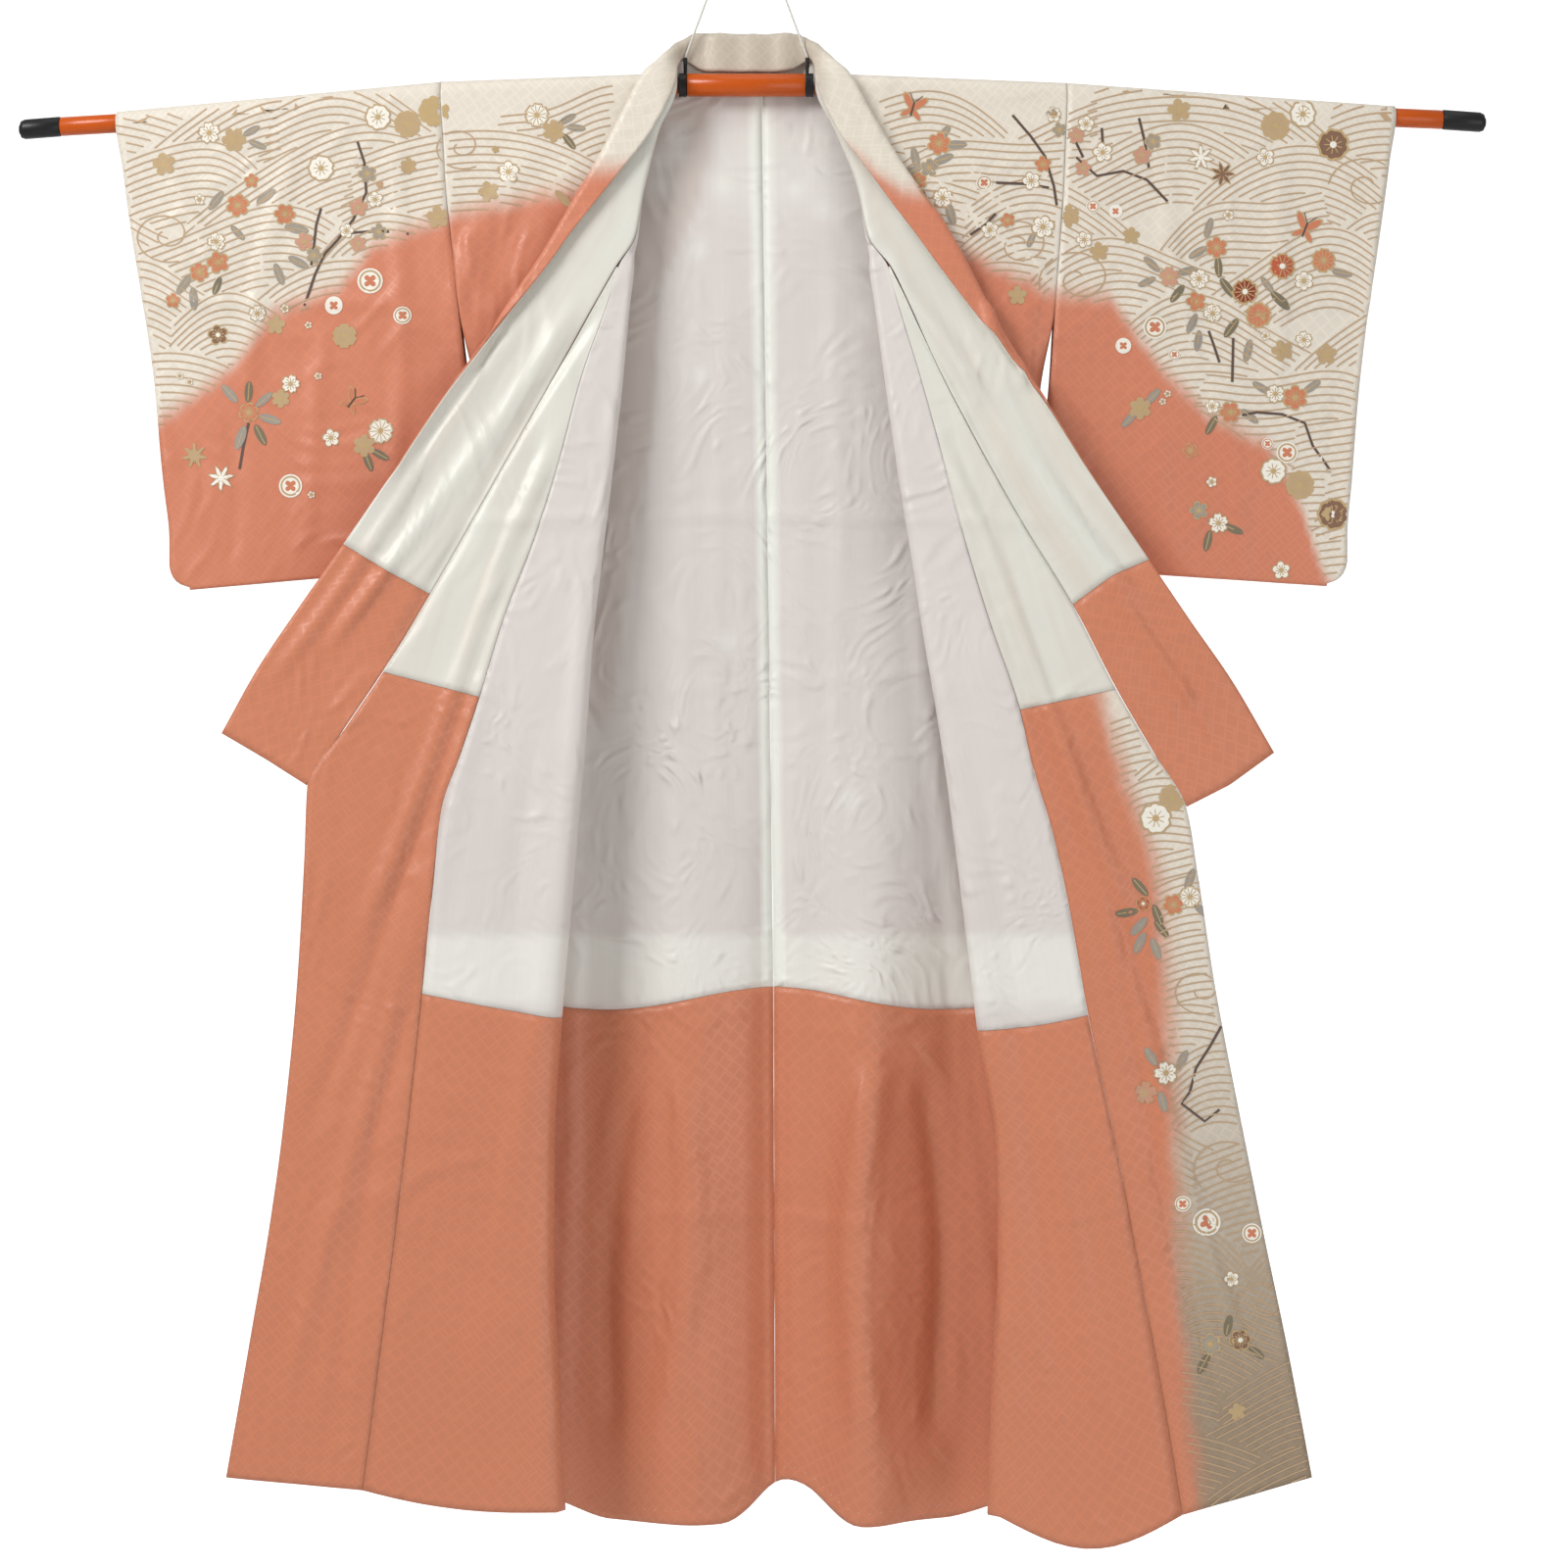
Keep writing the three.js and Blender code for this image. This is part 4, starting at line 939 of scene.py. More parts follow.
def lining_tone(x, y, depth):
    """How much painted shade browns the back lining, or below zero how much whiter it is."""
    behind = after(depth, *BEHIND)
    shade = soft_step((line_at(SHADE_EDGE, y) - x) / SHADE_SOFTNESS + 0.5) * before(y, *SHADE_BOTTOM)
    seam = behind * before(abs(x - line_at(SEAM_BAND, y)), *SEAM_HALF)
    top, bottom = WHITE_BAND
    band = after(y, *top) * before(y, *bottom)
    top, bottom, left, right = PATCH
    patch = after(y, *top) * before(y, *bottom) * after(x, *left) * before(x, *right)
    # the painted shade beside the left front browns the lining; the patch under the neck whitens it
    tone = behind * (SHADE_TONE * shade * before(x, *SHADE_RIGHT) - PATCH_TONE * patch)
    tone = tone - SEAM_TONE * seam - BAND_TONE * band
    for spot_x, spot_y, radius in SHOW_THROUGH:
        spread = ((x - spot_x) ** 2 + (y - spot_y) ** 2) / (SPOT_SPREAD * radius ** 2)
        tone -= SPOT_TONE * behind * np.exp(-spread)
    return tone


def finish_surface(surface, kind):
    """Gives a surface its creases, its dye, the tone of its lining with its painted shade, and its grey:
    painted shade at the collar's neck, greyer beige low on the right okumi.
    """
    x, y = seen_at(surface.points)
    drop = -ROD_DROP - surface.points[..., 2]
    heights = creases(x, y, drop)
    beside = abs(x - NECK_MIDDLE)
    if kind == "collar":
        rate, height = NECK_FOLDS
        heights += height * np.sin(rate * x) * before(drop, *FOLDS_BELOW) * before(beside, *FOLDS_BESIDE)
    surface.push(heights)
    dyes = {"collar": collar_dye, "okumi_right": okumi_dye, "okumi_left": lambda x, y: np.ones(x.shape)}
    surface.dye = dyes.get(kind, shoulder_dye)(x, y)
    if kind.startswith("body"):
        surface.tone = lining_tone(x, y, surface.points[..., 1])
    if kind == "okumi_right":
        surface.grey = after(y, *OKUMI_GREY)
    # painted shade greying the collar's silk at the back of the neck
    if kind == "collar":
        surface.grey = NECK_SHADE * before(drop, *NECK_SHADE_BELOW) * before(beside, *NECK_SHADE_BESIDE)


@functools.lru_cache(maxsize=1)
def surfaces():
    """The fine surfaces of every panel, sharing their marks along common seams."""
    made = {}
    halves, marks = [], []
    for side in (LEFT, RIGHT):
        body, okumi = body_grid(side), okumi_grid(side)
        body_marks = marks_of(body[:, 0])
        seam_marks = body_marks[len(BACK_DROPS) - 1:FRONT_START + len(side["collar"])]
        made["body_" + side["name"]] = Surface(body, body_marks)
        made["okumi_" + side["name"]] = Surface(okumi, body_marks[FRONT_START + OKUMI_TOP:])
        made["sleeve_" + side["name"]] = Surface(sleeve_grid(side), closed=True)
        halves.append(collar_rows(side, body, okumi))
        marks.append(seam_marks - seam_marks[0])
    rows = np.array(halves[0][:0:-1] + halves[1])
    left_end = marks[0][-1]
    made["collar"] = Surface(rows, np.concatenate((left_end - marks[0][:0:-1], left_end + marks[1])))
    made["collar"].middle = len(halves[0]) - 1
    for kind, surface in made.items():
        finish_surface(surface, kind)
    return made


class Window:
    """A stretch of cloth on which patterns are placed by where they show, mirrored if a line is given."""

    def __init__(self, node, surface, rows, columns, offset, mirror=None):
        window = (slice(rows[0], rows[1] + 1), slice(columns[0], columns[1] + 1))
        self.node, self.offset, self.mirror = node, offset, mirror
        self.points, self.normals = surface.points[window], surface.normals[window]
        self.rows, self.columns = self.points.shape[:2]
        x, y = seen_at(self.points)
        self.seen = np.stack((x, y), axis=2).tolist()
        self.tree = kdtree.KDTree(x.size)
        for index, spot in enumerate(zip(x.ravel(), y.ravel())):
            self.tree.insert((*spot, 0), index)
        self.tree.balance()
        self.low, self.high = (x.min(), y.min()), (x.max(), y.max())

    def place(self, x, y, lift):
        """The point of the cloth that shows at a pixel, raised off it, or None past the edges."""
        if self.mirror is not None:
            x = self.mirror - x
        if not (self.low[0] <= x <= self.high[0] and self.low[1] <= y <= self.high[1]):
            return None
        i, j = divmod(self.tree.find((x, y, 0))[1], self.columns)
        for _ in range(3):
            row, column = min(max(int(i), 0), self.rows - 2), min(max(int(j), 0), self.columns - 2)
            start, beside = self.seen[row][column:column + 2]
            below = self.seen[row + 1][column]
            down_x, down_y = below[0] - start[0], below[1] - start[1]
            side_x, side_y = beside[0] - start[0], beside[1] - start[1]
            area = down_x * side_y - down_y * side_x
            if abs(area) < LEAST_AREA:
                return None
            i = row + ((x - start[0]) * side_y - (y - start[1]) * side_x) / area
            j = column + (down_x * (y - start[1]) - down_y * (x - start[0])) / area
        if not (0 <= i <= self.rows - 1 and 0 <= j <= self.columns - 1):
            return None
        row, column = min(int(i), self.rows - 2), min(int(j), self.columns - 2)
        s, t = i - row, j - column
        block = (slice(row, row + 2), slice(column, column + 2))
        weights = np.array((((1 - s) * (1 - t), (1 - s) * t), (s * (1 - t), s * t)))[..., None]
        point = (self.points[block] * weights).sum(axis=(0, 1))
        normal = (self.normals[block] * weights).sum(axis=(0, 1))
        if abs(normal[1]) < FACING:
            return None
        return point + unit(normal) * (self.offset + math.copysign(lift, self.offset))


@functools.lru_cache(maxsize=1)
def windows():
    """The stretches of cloth that carry patterns, on the front and on the back."""
    made = surfaces()
    found = []
    for side in (LEFT, RIGHT):
        name, facing = side["name"], -side["sign"]
        silk = facing * SILK_PLY[1]
        sleeve, body = made["sleeve_" + name], made["body_" + name]
        columns = (0, SLEEVE_COLUMNS)
        crest = SLEEVE_BACK_ROWS + TURN_STEPS // 2
        last = SLEEVE_BACK_ROWS + TURN_STEPS + SLEEVE_FRONT_ROWS
        mirror = 2 * seen_at(sleeve.points)[0].mean()
        front = (sleeve.index[crest], sleeve.index[last])
        found.append(Window("sleeve_" + name, sleeve, front, columns, silk))
        found.append(Window("sleeve_" + name, sleeve, (0, sleeve.index[crest]), columns, silk, mirror))
        shoulder = FRONT_START - TURN_STEPS // 2 - 1
        outer = (sum(FRONT_COLUMNS[:2]) - 2, sum(FRONT_COLUMNS) + TURN_COLUMNS)
        end = FRONT_START + FRONT_LINING_END
        found.append(Window("body_" + name, body, (body.index[shoulder], body.index[end]), outer, silk))
        back = (0, BACK_COLUMNS + TURN_COLUMNS)
        found.append(Window("body_" + name, body, (0, body.index[shoulder]), back, silk, 2 * BACK_MIRROR))
    collar = made["collar"]
    over = OVER_PLY[1]
    leg = (COLLAR_COLUMNS[0] + 1, sum(COLLAR_COLUMNS[:3]))
    centre = collar.middle
    right = (collar.index[centre + 4], collar.index[centre + len(NECK_COLLAR) + RIGHT_OVER_END])
    left = (collar.index[centre - len(NECK_COLLAR) - LEFT_OVER_END], collar.index[centre - 4])
    found += [Window("over_collar", collar, rows, leg, over) for rows in (left, right)]
    okumi = made["okumi_right"]
    width = (0, OKUMI_COLUMNS)
    start = okumi.index[OKUMI_LINING_END - OKUMI_TOP]
    end = len(okumi.points) - 1
    found.append(Window("hakkake_okumi_right", okumi, (start, end), width, LINING_PLY[0]))
    found.append(Window("okumi_right", okumi, (start, end), width, SILK_PLY[1]))
    return found


SALMON = linear(207, 127, 96)
HEM_SALMON = linear(205, 127, 94)
CREAM = linear(225, 216, 201)
GREY_BEIGE = linear(152, 132, 108)
LINING_WHITE = linear(220, 212, 207)
# colour of the painted shade on the back lining
LINING_SHADE = linear(196, 176, 163)
SEAM_WHITE = linear(236, 236, 227)
SATIN_WHITE = linear(226, 227, 217)
# colour of the painted shade in the satin's long bands
SATIN_SHADE = linear(216, 205, 192)
ORANGE = linear(204, 86, 2)
BLACK = linear(20, 20, 22)
CORD_WHITE = linear(232, 230, 222)
# Wrinkles of each cloth: their scale, their stretch and their depth in metres
WRINKLES = {
    "silk": (15.0, (1.0, 1.0, 0.7), 0.003),
    "lining": (20.0, (1.0, 1.0, 0.8), 0.003),
    "satin": (14.0, (1.0, 1.0, 0.4), 0.0028),
}
CREPE_SCALE = 1300.0
GRAIN_DEPTH = 0.0003
PAINTS = {
    "tan": linear(188, 160, 122), "line": linear(190, 160, 126), "white": linear(240, 235, 222),
    "orange": linear(204, 124, 90), "rust": linear(184, 88, 58), "dark": linear(138, 58, 38),
    "grey": linear(156, 147, 136), "olive": linear(122, 112, 90), "wood": linear(92, 72, 62),
    "pink": linear(204, 146, 124), "gold": linear(192, 164, 116), "brown": linear(132, 98, 76),
}


class Look:
    """A procedural material while its nodes are put together."""

    def __init__(self, name, roughness, sheen=0.0, specular=0.5, coat=0.0):
        self.material = bpy.data.materials.new(name)
        self.material.use_nodes = True
        self.tree = self.material.node_tree
        self.shader = self.tree.nodes["Principled BSDF"]
        self.shader.inputs["Roughness"].default_value = roughness
        self.shader.inputs["Sheen Weight"].default_value = sheen
        self.shader.inputs["Specular IOR Level"].default_value = specular
        self.shader.inputs["Coat Weight"].default_value = coat

    def node(self, kind, inputs=None, **settings):
        made = self.tree.nodes.new("ShaderNode" + kind)
        for key, value in settings.items():
            setattr(made, key, value)
        for key, value in (inputs or {}).items():
            self.put(made.inputs[key], value)
        return made

    def put(self, socket, value):
        if isinstance(value, bpy.types.NodeSocket):
            self.tree.links.new(value, socket)
        else:
            socket.default_value = value

    def set(self, name, value):
        self.put(self.shader.inputs[name], value)

    def flat(self):
        """The cloth's own flat coordinates, in metres."""
        return self.node("UVMap", uv_map="UVMap").outputs["UV"]

    def solid(self):
        """Coordinates through the solid, in metres."""
        return self.node("TexCoord").outputs["Object"]

    def attribute(self, name, output="Fac"):
        return self.node("Attribute", attribute_name=name).outputs[output]

    def mix(self, share, first, second):
        made = self.node("Mix", {0: share, 6: first, 7: second}, data_type="RGBA")
        return made.outputs[2]

    def maths(self, operation, first, second, clamped=False):
        made = self.node("Math", {0: first, 1: second}, operation=operation, use_clamp=clamped)
        return made.outputs[0]

    def ranged(self, value, low, high):
        """A value of 0 to 1 brought to another range."""
        return self.node("MapRange", {"Value": value, "To Min": low, "To Max": high}).outputs["Result"]

    def placed(self, source, scale=(1, 1, 1), turn=0.0):
        made = self.node("Mapping", {"Vector": source, "Scale": scale, "Rotation": (0, 0, turn)})
        return made.outputs["Vector"]

    def noise(self, source, scale, detail=3.0):
        return self.node("TexNoise", {"Vector": source, "Scale": scale, "Detail": detail}).outputs["Fac"]

    def brighter(self, colour, amount):
        return self.node("HueSaturation", {"Color": colour, "Value": amount}).outputs["Color"]

    def wrinkles(self, scale, stretch, depth):
        """Thin sharp-edged wrinkles, the normals of which lie under those of the weave."""
        source = self.solid()
        drift = self.node("TexNoise", {"Vector": source, "Scale": scale / 4, "Detail": 1.0}).outputs["Color"]
        parts = {0: drift, 1: (WRINKLE_DRIFT,) * 3, 2: self.placed(source, stretch)}
        moved = self.node("VectorMath", parts, operation="MULTIPLY_ADD")
        ridges = self.node("TexNoise", {
            "Vector": moved.outputs["Vector"], "Scale": scale, "Detail": 2.0, "Roughness": 0.4,
        }, noise_type="RIDGED_MULTIFRACTAL").outputs["Fac"]
        made = self.node("Bump", {"Height": ridges, "Strength": 1.0, "Distance": depth})
        return made.outputs["Normal"]

    def bump(self, height, strength, distance, under=None):
        made = self.node("Bump", {"Height": height, "Strength": strength, "Distance": distance})
        if under is not None:
            self.put(made.inputs["Normal"], under)
        self.set("Normal", made.outputs["Normal"])


def silk_look(name, cream, salmon):
    """Crepe silk dyed from cream to salmon, woven with a key fret and small sprigs, with painted sheen and
    shade.
    """
    look = Look(name, 0.5, sheen=0.12, specular=0.45)
    flat = look.flat()
    dye = look.attribute("dye")
    bell = look.maths("MULTIPLY", look.maths("SUBTRACT", 1.0, dye), look.maths("MULTIPLY", dye, 4.0))
    streak = look.ranged(look.noise(look.placed(flat, (1.0, 0.35, 1.0)), 38.0), -0.6, 0.6)
    share = look.maths("ADD", dye, look.maths("MULTIPLY", streak, bell), clamped=True)
    # grey turns the cream greyer beige: painted shade at the collar's neck, and downwards on the right okumi
    base = look.mix(share, look.mix(look.attribute("grey"), cream, GREY_BEIGE), salmon)
    lines = [
        look.node("TexBrick", {
            "Vector": look.placed(flat, turn=turn), "Scale": FRET_SCALE, "Mortar Size": 0.03,
            "Mortar Smooth": 0.3, "Brick Width": 0.62, "Row Height": 0.3,
        }).outputs["Fac"] for turn in (math.pi / 4, -math.pi / 4)
    ]
    fret = look.maths("MAXIMUM", *lines)
    sprigs = look.node("TexVoronoi", {"Vector": flat, "Scale": SPRIG_SCALE, "Randomness": 0.8})
    sprig = look.node("MapRange", {
        "Value": sprigs.outputs["Distance"], "From Min": 0.05, "From Max": 0.09, "To Min": 1.0, "To Max": 0.0,
    })
    woven = look.maths("MAXIMUM", fret, sprig.outputs["Result"])
    # painted sheen: soft patches that lift and lower the silk's brightness a little
    painted_sheen = look.ranged(look.noise(flat, 7.0, 4.0), -0.06, 0.06)
    lift = look.maths("ADD", look.ranged(woven, 0.985, 1.05), painted_sheen)
    look.set("Base Color", look.brighter(base, lift))
    look.set("Roughness", look.ranged(woven, 0.5, 0.38))
    crepe = look.noise(flat, CREPE_SCALE, 2.0)
    wrinkled = look.wrinkles(*WRINKLES["silk"])
    look.bump(look.maths("ADD", crepe, look.maths("MULTIPLY", woven, 0.5)), 0.3, GRAIN_DEPTH, wrinkled)
    return look.material


def lining_look():
    """Thin plain lining, browner where painted shade lies beside the left front, and whiter over its seams.
    """
    look = Look("Lining silk", 0.5, sheen=0.1, specular=0.4)
    flat = look.flat()
    tone = look.attribute("tone")
    white = look.maths("MULTIPLY", tone, -1.0, clamped=True)
    # brown is the share of painted shade on the lining
    brown = look.maths("MULTIPLY", tone, 1.0, clamped=True)
    base = look.mix(white, look.mix(brown, LINING_WHITE, LINING_SHADE), SEAM_WHITE)
    slub = look.noise(look.placed(flat, (1.0, 0.03, 1.0)), 260.0, 4.0)
    cloud = look.noise(look.placed(flat, (1.0, 0.4, 1.0)), 9.0, 4.0)
    lift = look.maths("ADD", look.ranged(slub, 0.96, 1.02), look.ranged(cloud, -0.05, 0.05))
    look.set("Base Color", look.brighter(base, lift))
    look.set("Roughness", look.ranged(cloud, 0.38, 0.5))
    wrinkled = look.wrinkles(*WRINKLES["lining"])
    look.bump(look.maths("ADD", slub, look.noise(flat, 1500.0, 2.0)), 0.22, GRAIN_DEPTH, wrinkled)
    return look.material


def satin_look():
    """Smooth glossy lining of the collar and the okumi, with faint long bands of painted shade."""
    look = Look("Satin lining", 0.34, sheen=0.08, specular=0.6)
    flat = look.flat()
    bands = look.noise(look.placed(flat, (1.0, 0.06, 1.0)), 34.0, 3.0)
    # painted shade: faint long beige bands along the satin
    base = look.mix(look.ranged(bands, -0.5, 1.4), SATIN_WHITE, SATIN_SHADE)
    thread = look.noise(look.placed(flat, (0.05, 1.0, 1.0)), 900.0, 2.0)
    look.set("Base Color", look.brighter(base, look.ranged(thread, 0.98, 1.02)))
    look.set("Roughness", look.ranged(bands, 0.36, 0.5))
    look.bump(thread, 0.12, 0.0002, look.wrinkles(*WRINKLES["satin"]))
    return look.material


def paint_look():
    """Dye and fine outlines drawn on the silk, with the silk's own grain."""
    look = Look("Painted dye", 0.5, sheen=0.1, specular=0.4)
    flat = look.solid()
    wash = look.noise(flat, 160.0, 3.0)
    look.set("Base Color", look.brighter(look.attribute("paint", "Color"), look.ranged(wash, 0.93, 1.06)))
    look.bump(look.noise(flat, CREPE_SCALE, 2.0), 0.3, GRAIN_DEPTH)
    return look.material


def plastic_look(name, colour, roughness):
    """Moulded plastic with a faint orange-peel surface and fine wear."""
    look = Look(name, roughness, specular=0.35, coat=0.08)
    place = look.solid()
    wear = look.noise(look.placed(place, (0.2, 1.0, 1.0)), 120.0, 4.0)
    look.set("Base Color", look.brighter(colour_node(look, colour), look.ranged(wear, 0.94, 1.05)))
    look.set("Roughness", look.ranged(wear, roughness - 0.05, roughness + 0.1))
    look.bump(look.noise(place, 700.0, 2.0), 0.12, GRAIN_DEPTH)
    return look.material


def colour_node(look, colour):
    """A colour that varies a little through the material."""
    shade = (colour[0] * 0.86, colour[1] * 0.86, colour[2] * 0.86, 1)
    cloud = look.noise(look.solid(), 24.0, 3.0)
    return look.mix(cloud, colour, shade)


def twisted_look(name, colour, lay):
    """Twisted thread or cord, its strands running round it, with painted shade in the grooves between them.
    """
    look = Look(name, 0.7, sheen=0.3, specular=0.3)
    place = look.solid()
    turned = look.placed(place, turn=0.6)
    strands = look.node("TexWave", {
        "Vector": turned, "Scale": lay, "Distortion": 1.5, "Detail": 2.0,
    }, bands_direction="DIAGONAL").outputs["Fac"]
    # painted shade: the grooves between the strands darker
    look.set("Base Color", look.brighter(colour_node(look, colour), look.ranged(strands, 0.82, 1.04)))
    look.bump(strands, 0.6, 0.0004)
    return look.material


def wall_look(name, glow):
    """Plain white paint with the faintest grain; the wall glows a little, as one lit from behind."""
    look = Look(name, 0.9, specular=0.2)
    grain = look.noise(look.solid(), 3.0, 2.0)
    look.set("Base Color", look.mix(grain, (0.93, 0.93, 0.93, 1), (0.96, 0.96, 0.955, 1)))
    look.set("Emission Color", (1, 1, 1, 1))
    look.set("Emission Strength", glow)
    return look.material


@functools.lru_cache(maxsize=1)
def looks():
    """Every material of the object, by name."""
    dyes = bpy.context.scene.kimono_dyes
    return {
        "silk": silk_look("Dyed silk", tuple(dyes.cream), tuple(dyes.salmon)),
        "hem": silk_look("Hem lining silk", tuple(dyes.cream), HEM_SALMON),
        "lining": lining_look(), "satin": satin_look(), "paint": paint_look(),
        "orange": plastic_look("Orange plastic", tuple(dyes.hanger), 0.26),
        "black": plastic_look("Black plastic", BLACK, 0.4),
        "cord": twisted_look("White cord", CORD_WHITE, 240.0),
        "thread": twisted_look("Sewing thread", CORD_WHITE, 900.0),
    }


class Paint:
    """Flat shapes drawn on one window, gathered into one mesh with a colour at each corner."""

    def __init__(self, window):
        self.window = window
        self.points, self.faces, self.colours = [], [], []

    def patch(self, spots, faces, colour, level):
        """Lays a flat shape on the cloth; faces past the cloth's edge are left out."""
        lift = PAINT_LIFT + PAINT_LEVEL * level
        placed = [self.window.place(x, y, lift) for x, y in spots]
        kept = [face for face in faces if all(placed[corner] is not None for corner in face)]
        if not kept:
            return
        used = sorted({corner for face in kept for corner in face})
        index = {corner: len(self.points) + k for k, corner in enumerate(used)}
        self.points += [placed[corner] for corner in used]
        self.colours += [PAINTS[colour]] * len(used)
        a, b, c = (placed[corner] for corner in kept[0][:3])
        centre = self.window.place(*spots[kept[0][0]], lift + 1)
        flip = float(np.cross(b - a, c - a) @ (centre - a)) < 0
        self.faces += [[index[corner] for corner in (reversed(face) if flip else face)] for face in kept]

    def shape(self, edge, x, y, radius, turn, colour, level):
        """A shape whose edge stands at a share of its radius for every angle round its middle."""
        angles = [2 * math.pi * k / SHAPE_POINTS for k in range(SHAPE_POINTS)]
        spots = [(x, y)]
        for share in SHAPE_RINGS:
            for angle in angles:
                reach = radius * share * edge(angle)
                spots.append((x + reach * math.cos(angle + turn), y + reach * math.sin(angle + turn)))
        faces = []
        for k in range(SHAPE_POINTS):
            after = (k + 1) % SHAPE_POINTS
            faces.append((0, 1 + k, 1 + after))
            for ring in range(len(SHAPE_RINGS) - 1):
                near, far = 1 + ring * SHAPE_POINTS, 1 + (ring + 1) * SHAPE_POINTS
                faces.append((near + k, far + k, far + after, near + after))
        self.patch(spots, faces, colour, level)

    def stroke(self, line, width, colour, level):
        """A line of a constant width, broken where the cloth ends."""
        line = [Vector(spot) for spot in line]
        spots = []
        for k, spot in enumerate(line):
            forward = line[min(k + 1, len(line) - 1)] - line[max(k - 1, 0)]
            across = Vector((-forward.y, forward.x)).normalized() * width / 2
            spots += [tuple(spot + across), tuple(spot - across)]
        faces = [(2 * k, 2 * k + 1, 2 * k + 3, 2 * k + 2) for k in range(len(line) - 1)]
        self.patch(spots, faces, colour, level)

    def finished(self, name, material):
        """The drawn shapes as one object on the body, or None where nothing was drawn."""
        if not self.faces:
            return None
        thing = new_object(name, self.points, self.faces, material)
        layer = thing.data.attributes.new("paint", "FLOAT_COLOR", "POINT")
        layer.data.foreach_set("color", np.array(self.colours, np.float32).ravel())
        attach(thing, "root")
        return thing


def petals(count, waist, notch=0.0):
    """The edge of a flower with round petals, each notched at its tip by some share."""
    def edge(angle):
        turn = (angle * count / (2 * math.pi)) % 1 - 0.5
        round_share = math.cos(math.pi * turn) ** 0.7
        return waist + (1 - waist) * round_share - notch * math.exp(-((turn / 0.12) ** 2))
    return edge


def maple(angle):
    return 0.34 + 0.66 * abs(math.cos(3.5 * angle)) ** 2.6


def oval(angle):
    return 0.36 / math.sqrt(0.13 * math.cos(angle) ** 2 + math.sin(angle) ** 2 + 0.0001)


def disc(_):
    return 1.0


# Parts of the motifs as shares of their radius, and widths of drawn lines in pixels
FLOWER_FILL = 0.86
FLOWER_HEART = 0.2
VEIN_START = 0.2
VEIN_END = {"mum": 0.8}
VEIN_WIDTH = 0.9
LEAF_VEIN = 0.85
WINGS = ((0.7, 1.0), (2.3, 0.72), (-0.7, 1.0), (-2.3, 0.72))
WING_MIDDLE, WING_RIM, WING_FILL = 0.55, 0.62, 0.5
BUTTERFLY_HALF = 0.4
BUTTERFLY_WIDTH = 2.0
FEELER_SPREAD = 0.4
FEELER_WIDTH = 0.8
JEWEL_FILL, JEWEL_RING, JEWEL_HEART = 0.86, 0.7, 0.55
VEINED_ONCE = ("mum", "pine", "maple")
FLOWERS = {
    "plum": (petals(5, 0.62), 5), "cherry": (petals(5, 0.58, 0.18), 5), "bloom": (petals(6, 0.66, 0.08), 6),
    "mum": (petals(12, 0.8), 12), "pine": (petals(9, 0.86), 9), "maple": (maple, 7),
}


def towards(x, y, reach, angle):
    """A spot at some reach from another."""
    return x + reach * math.cos(angle), y + reach * math.sin(angle)


def flower(paint, kind, x, y, radius, colour, turn):
    """A flower, pine or maple: its edge, its filling, its veins and its gold or white heart."""
    edge, count = FLOWERS[kind]
    rim = "tan" if colour in ("white", "pink") else "gold"
    paint.shape(edge, x, y, radius, turn, rim, 1)
    paint.shape(edge, x, y, radius * FLOWER_FILL, turn, colour, 2)
    veins = count if kind in VEINED_ONCE else 2 * count
    shares = (VEIN_START, VEIN_END.get(kind, 0.55))
    for k in range(veins):
        angle = turn + 2 * math.pi * (k + 0.5) / veins
        paint.stroke([towards(x, y, radius * share, angle) for share in shares], VEIN_WIDTH, rim, 3)
    if kind != "maple":
        heart = "white" if colour in ("rust", "dark", "brown") else "gold"
        paint.shape(disc, x, y, radius * FLOWER_HEART, 0, heart, 4)


def leaf(paint, x, y, radius, colour, turn):
    paint.shape(oval, x, y, radius, turn, colour, 0)
    ends = [towards(x, y, reach * radius, turn) for reach in (-LEAF_VEIN, 0, LEAF_VEIN)]
    paint.stroke(ends, VEIN_WIDTH, "gold", 1)


def butterfly(paint, x, y, radius, colour, turn):
    """Four wings about a small body, with two feelers."""
    for spread, share in WINGS:
        angle = turn + spread
        middle = towards(x, y, WING_MIDDLE * radius * share, angle)
        paint.shape(oval, *middle, radius * WING_RIM * share, angle, "gold", 1)
        paint.shape(oval, *middle, radius * WING_FILL * share, angle, colour, 2)
    tail, head = (towards(x, y, reach * radius, turn) for reach in (-BUTTERFLY_HALF, BUTTERFLY_HALF))
    paint.stroke([tail, head], BUTTERFLY_WIDTH, "wood", 3)
    for side in (-FEELER_SPREAD, FEELER_SPREAD):
        paint.stroke([head, towards(x, y, radius, turn + side)], FEELER_WIDTH, "wood", 3)


def jewel(paint, x, y, radius, colour, turn):
    """A small round treasure with a ring and four petals."""
    paint.shape(disc, x, y, radius, turn, "white", 1)
    paint.shape(disc, x, y, radius * JEWEL_FILL, turn, colour, 2)
    paint.shape(disc, x, y, radius * JEWEL_RING, turn, "white", 3)
    paint.shape(petals(4, 0.35), x, y, radius * JEWEL_HEART, turn, "orange", 4)


def draw(paint, kind, x, y, radius, colour, turn):
    special = {"leaf": leaf, "butterfly": butterfly, "jewel": jewel}
    if kind in special:
        special[kind](paint, x, y, radius, colour, turn)
    else:
        flower(paint, kind, x, y, radius, colour, turn)


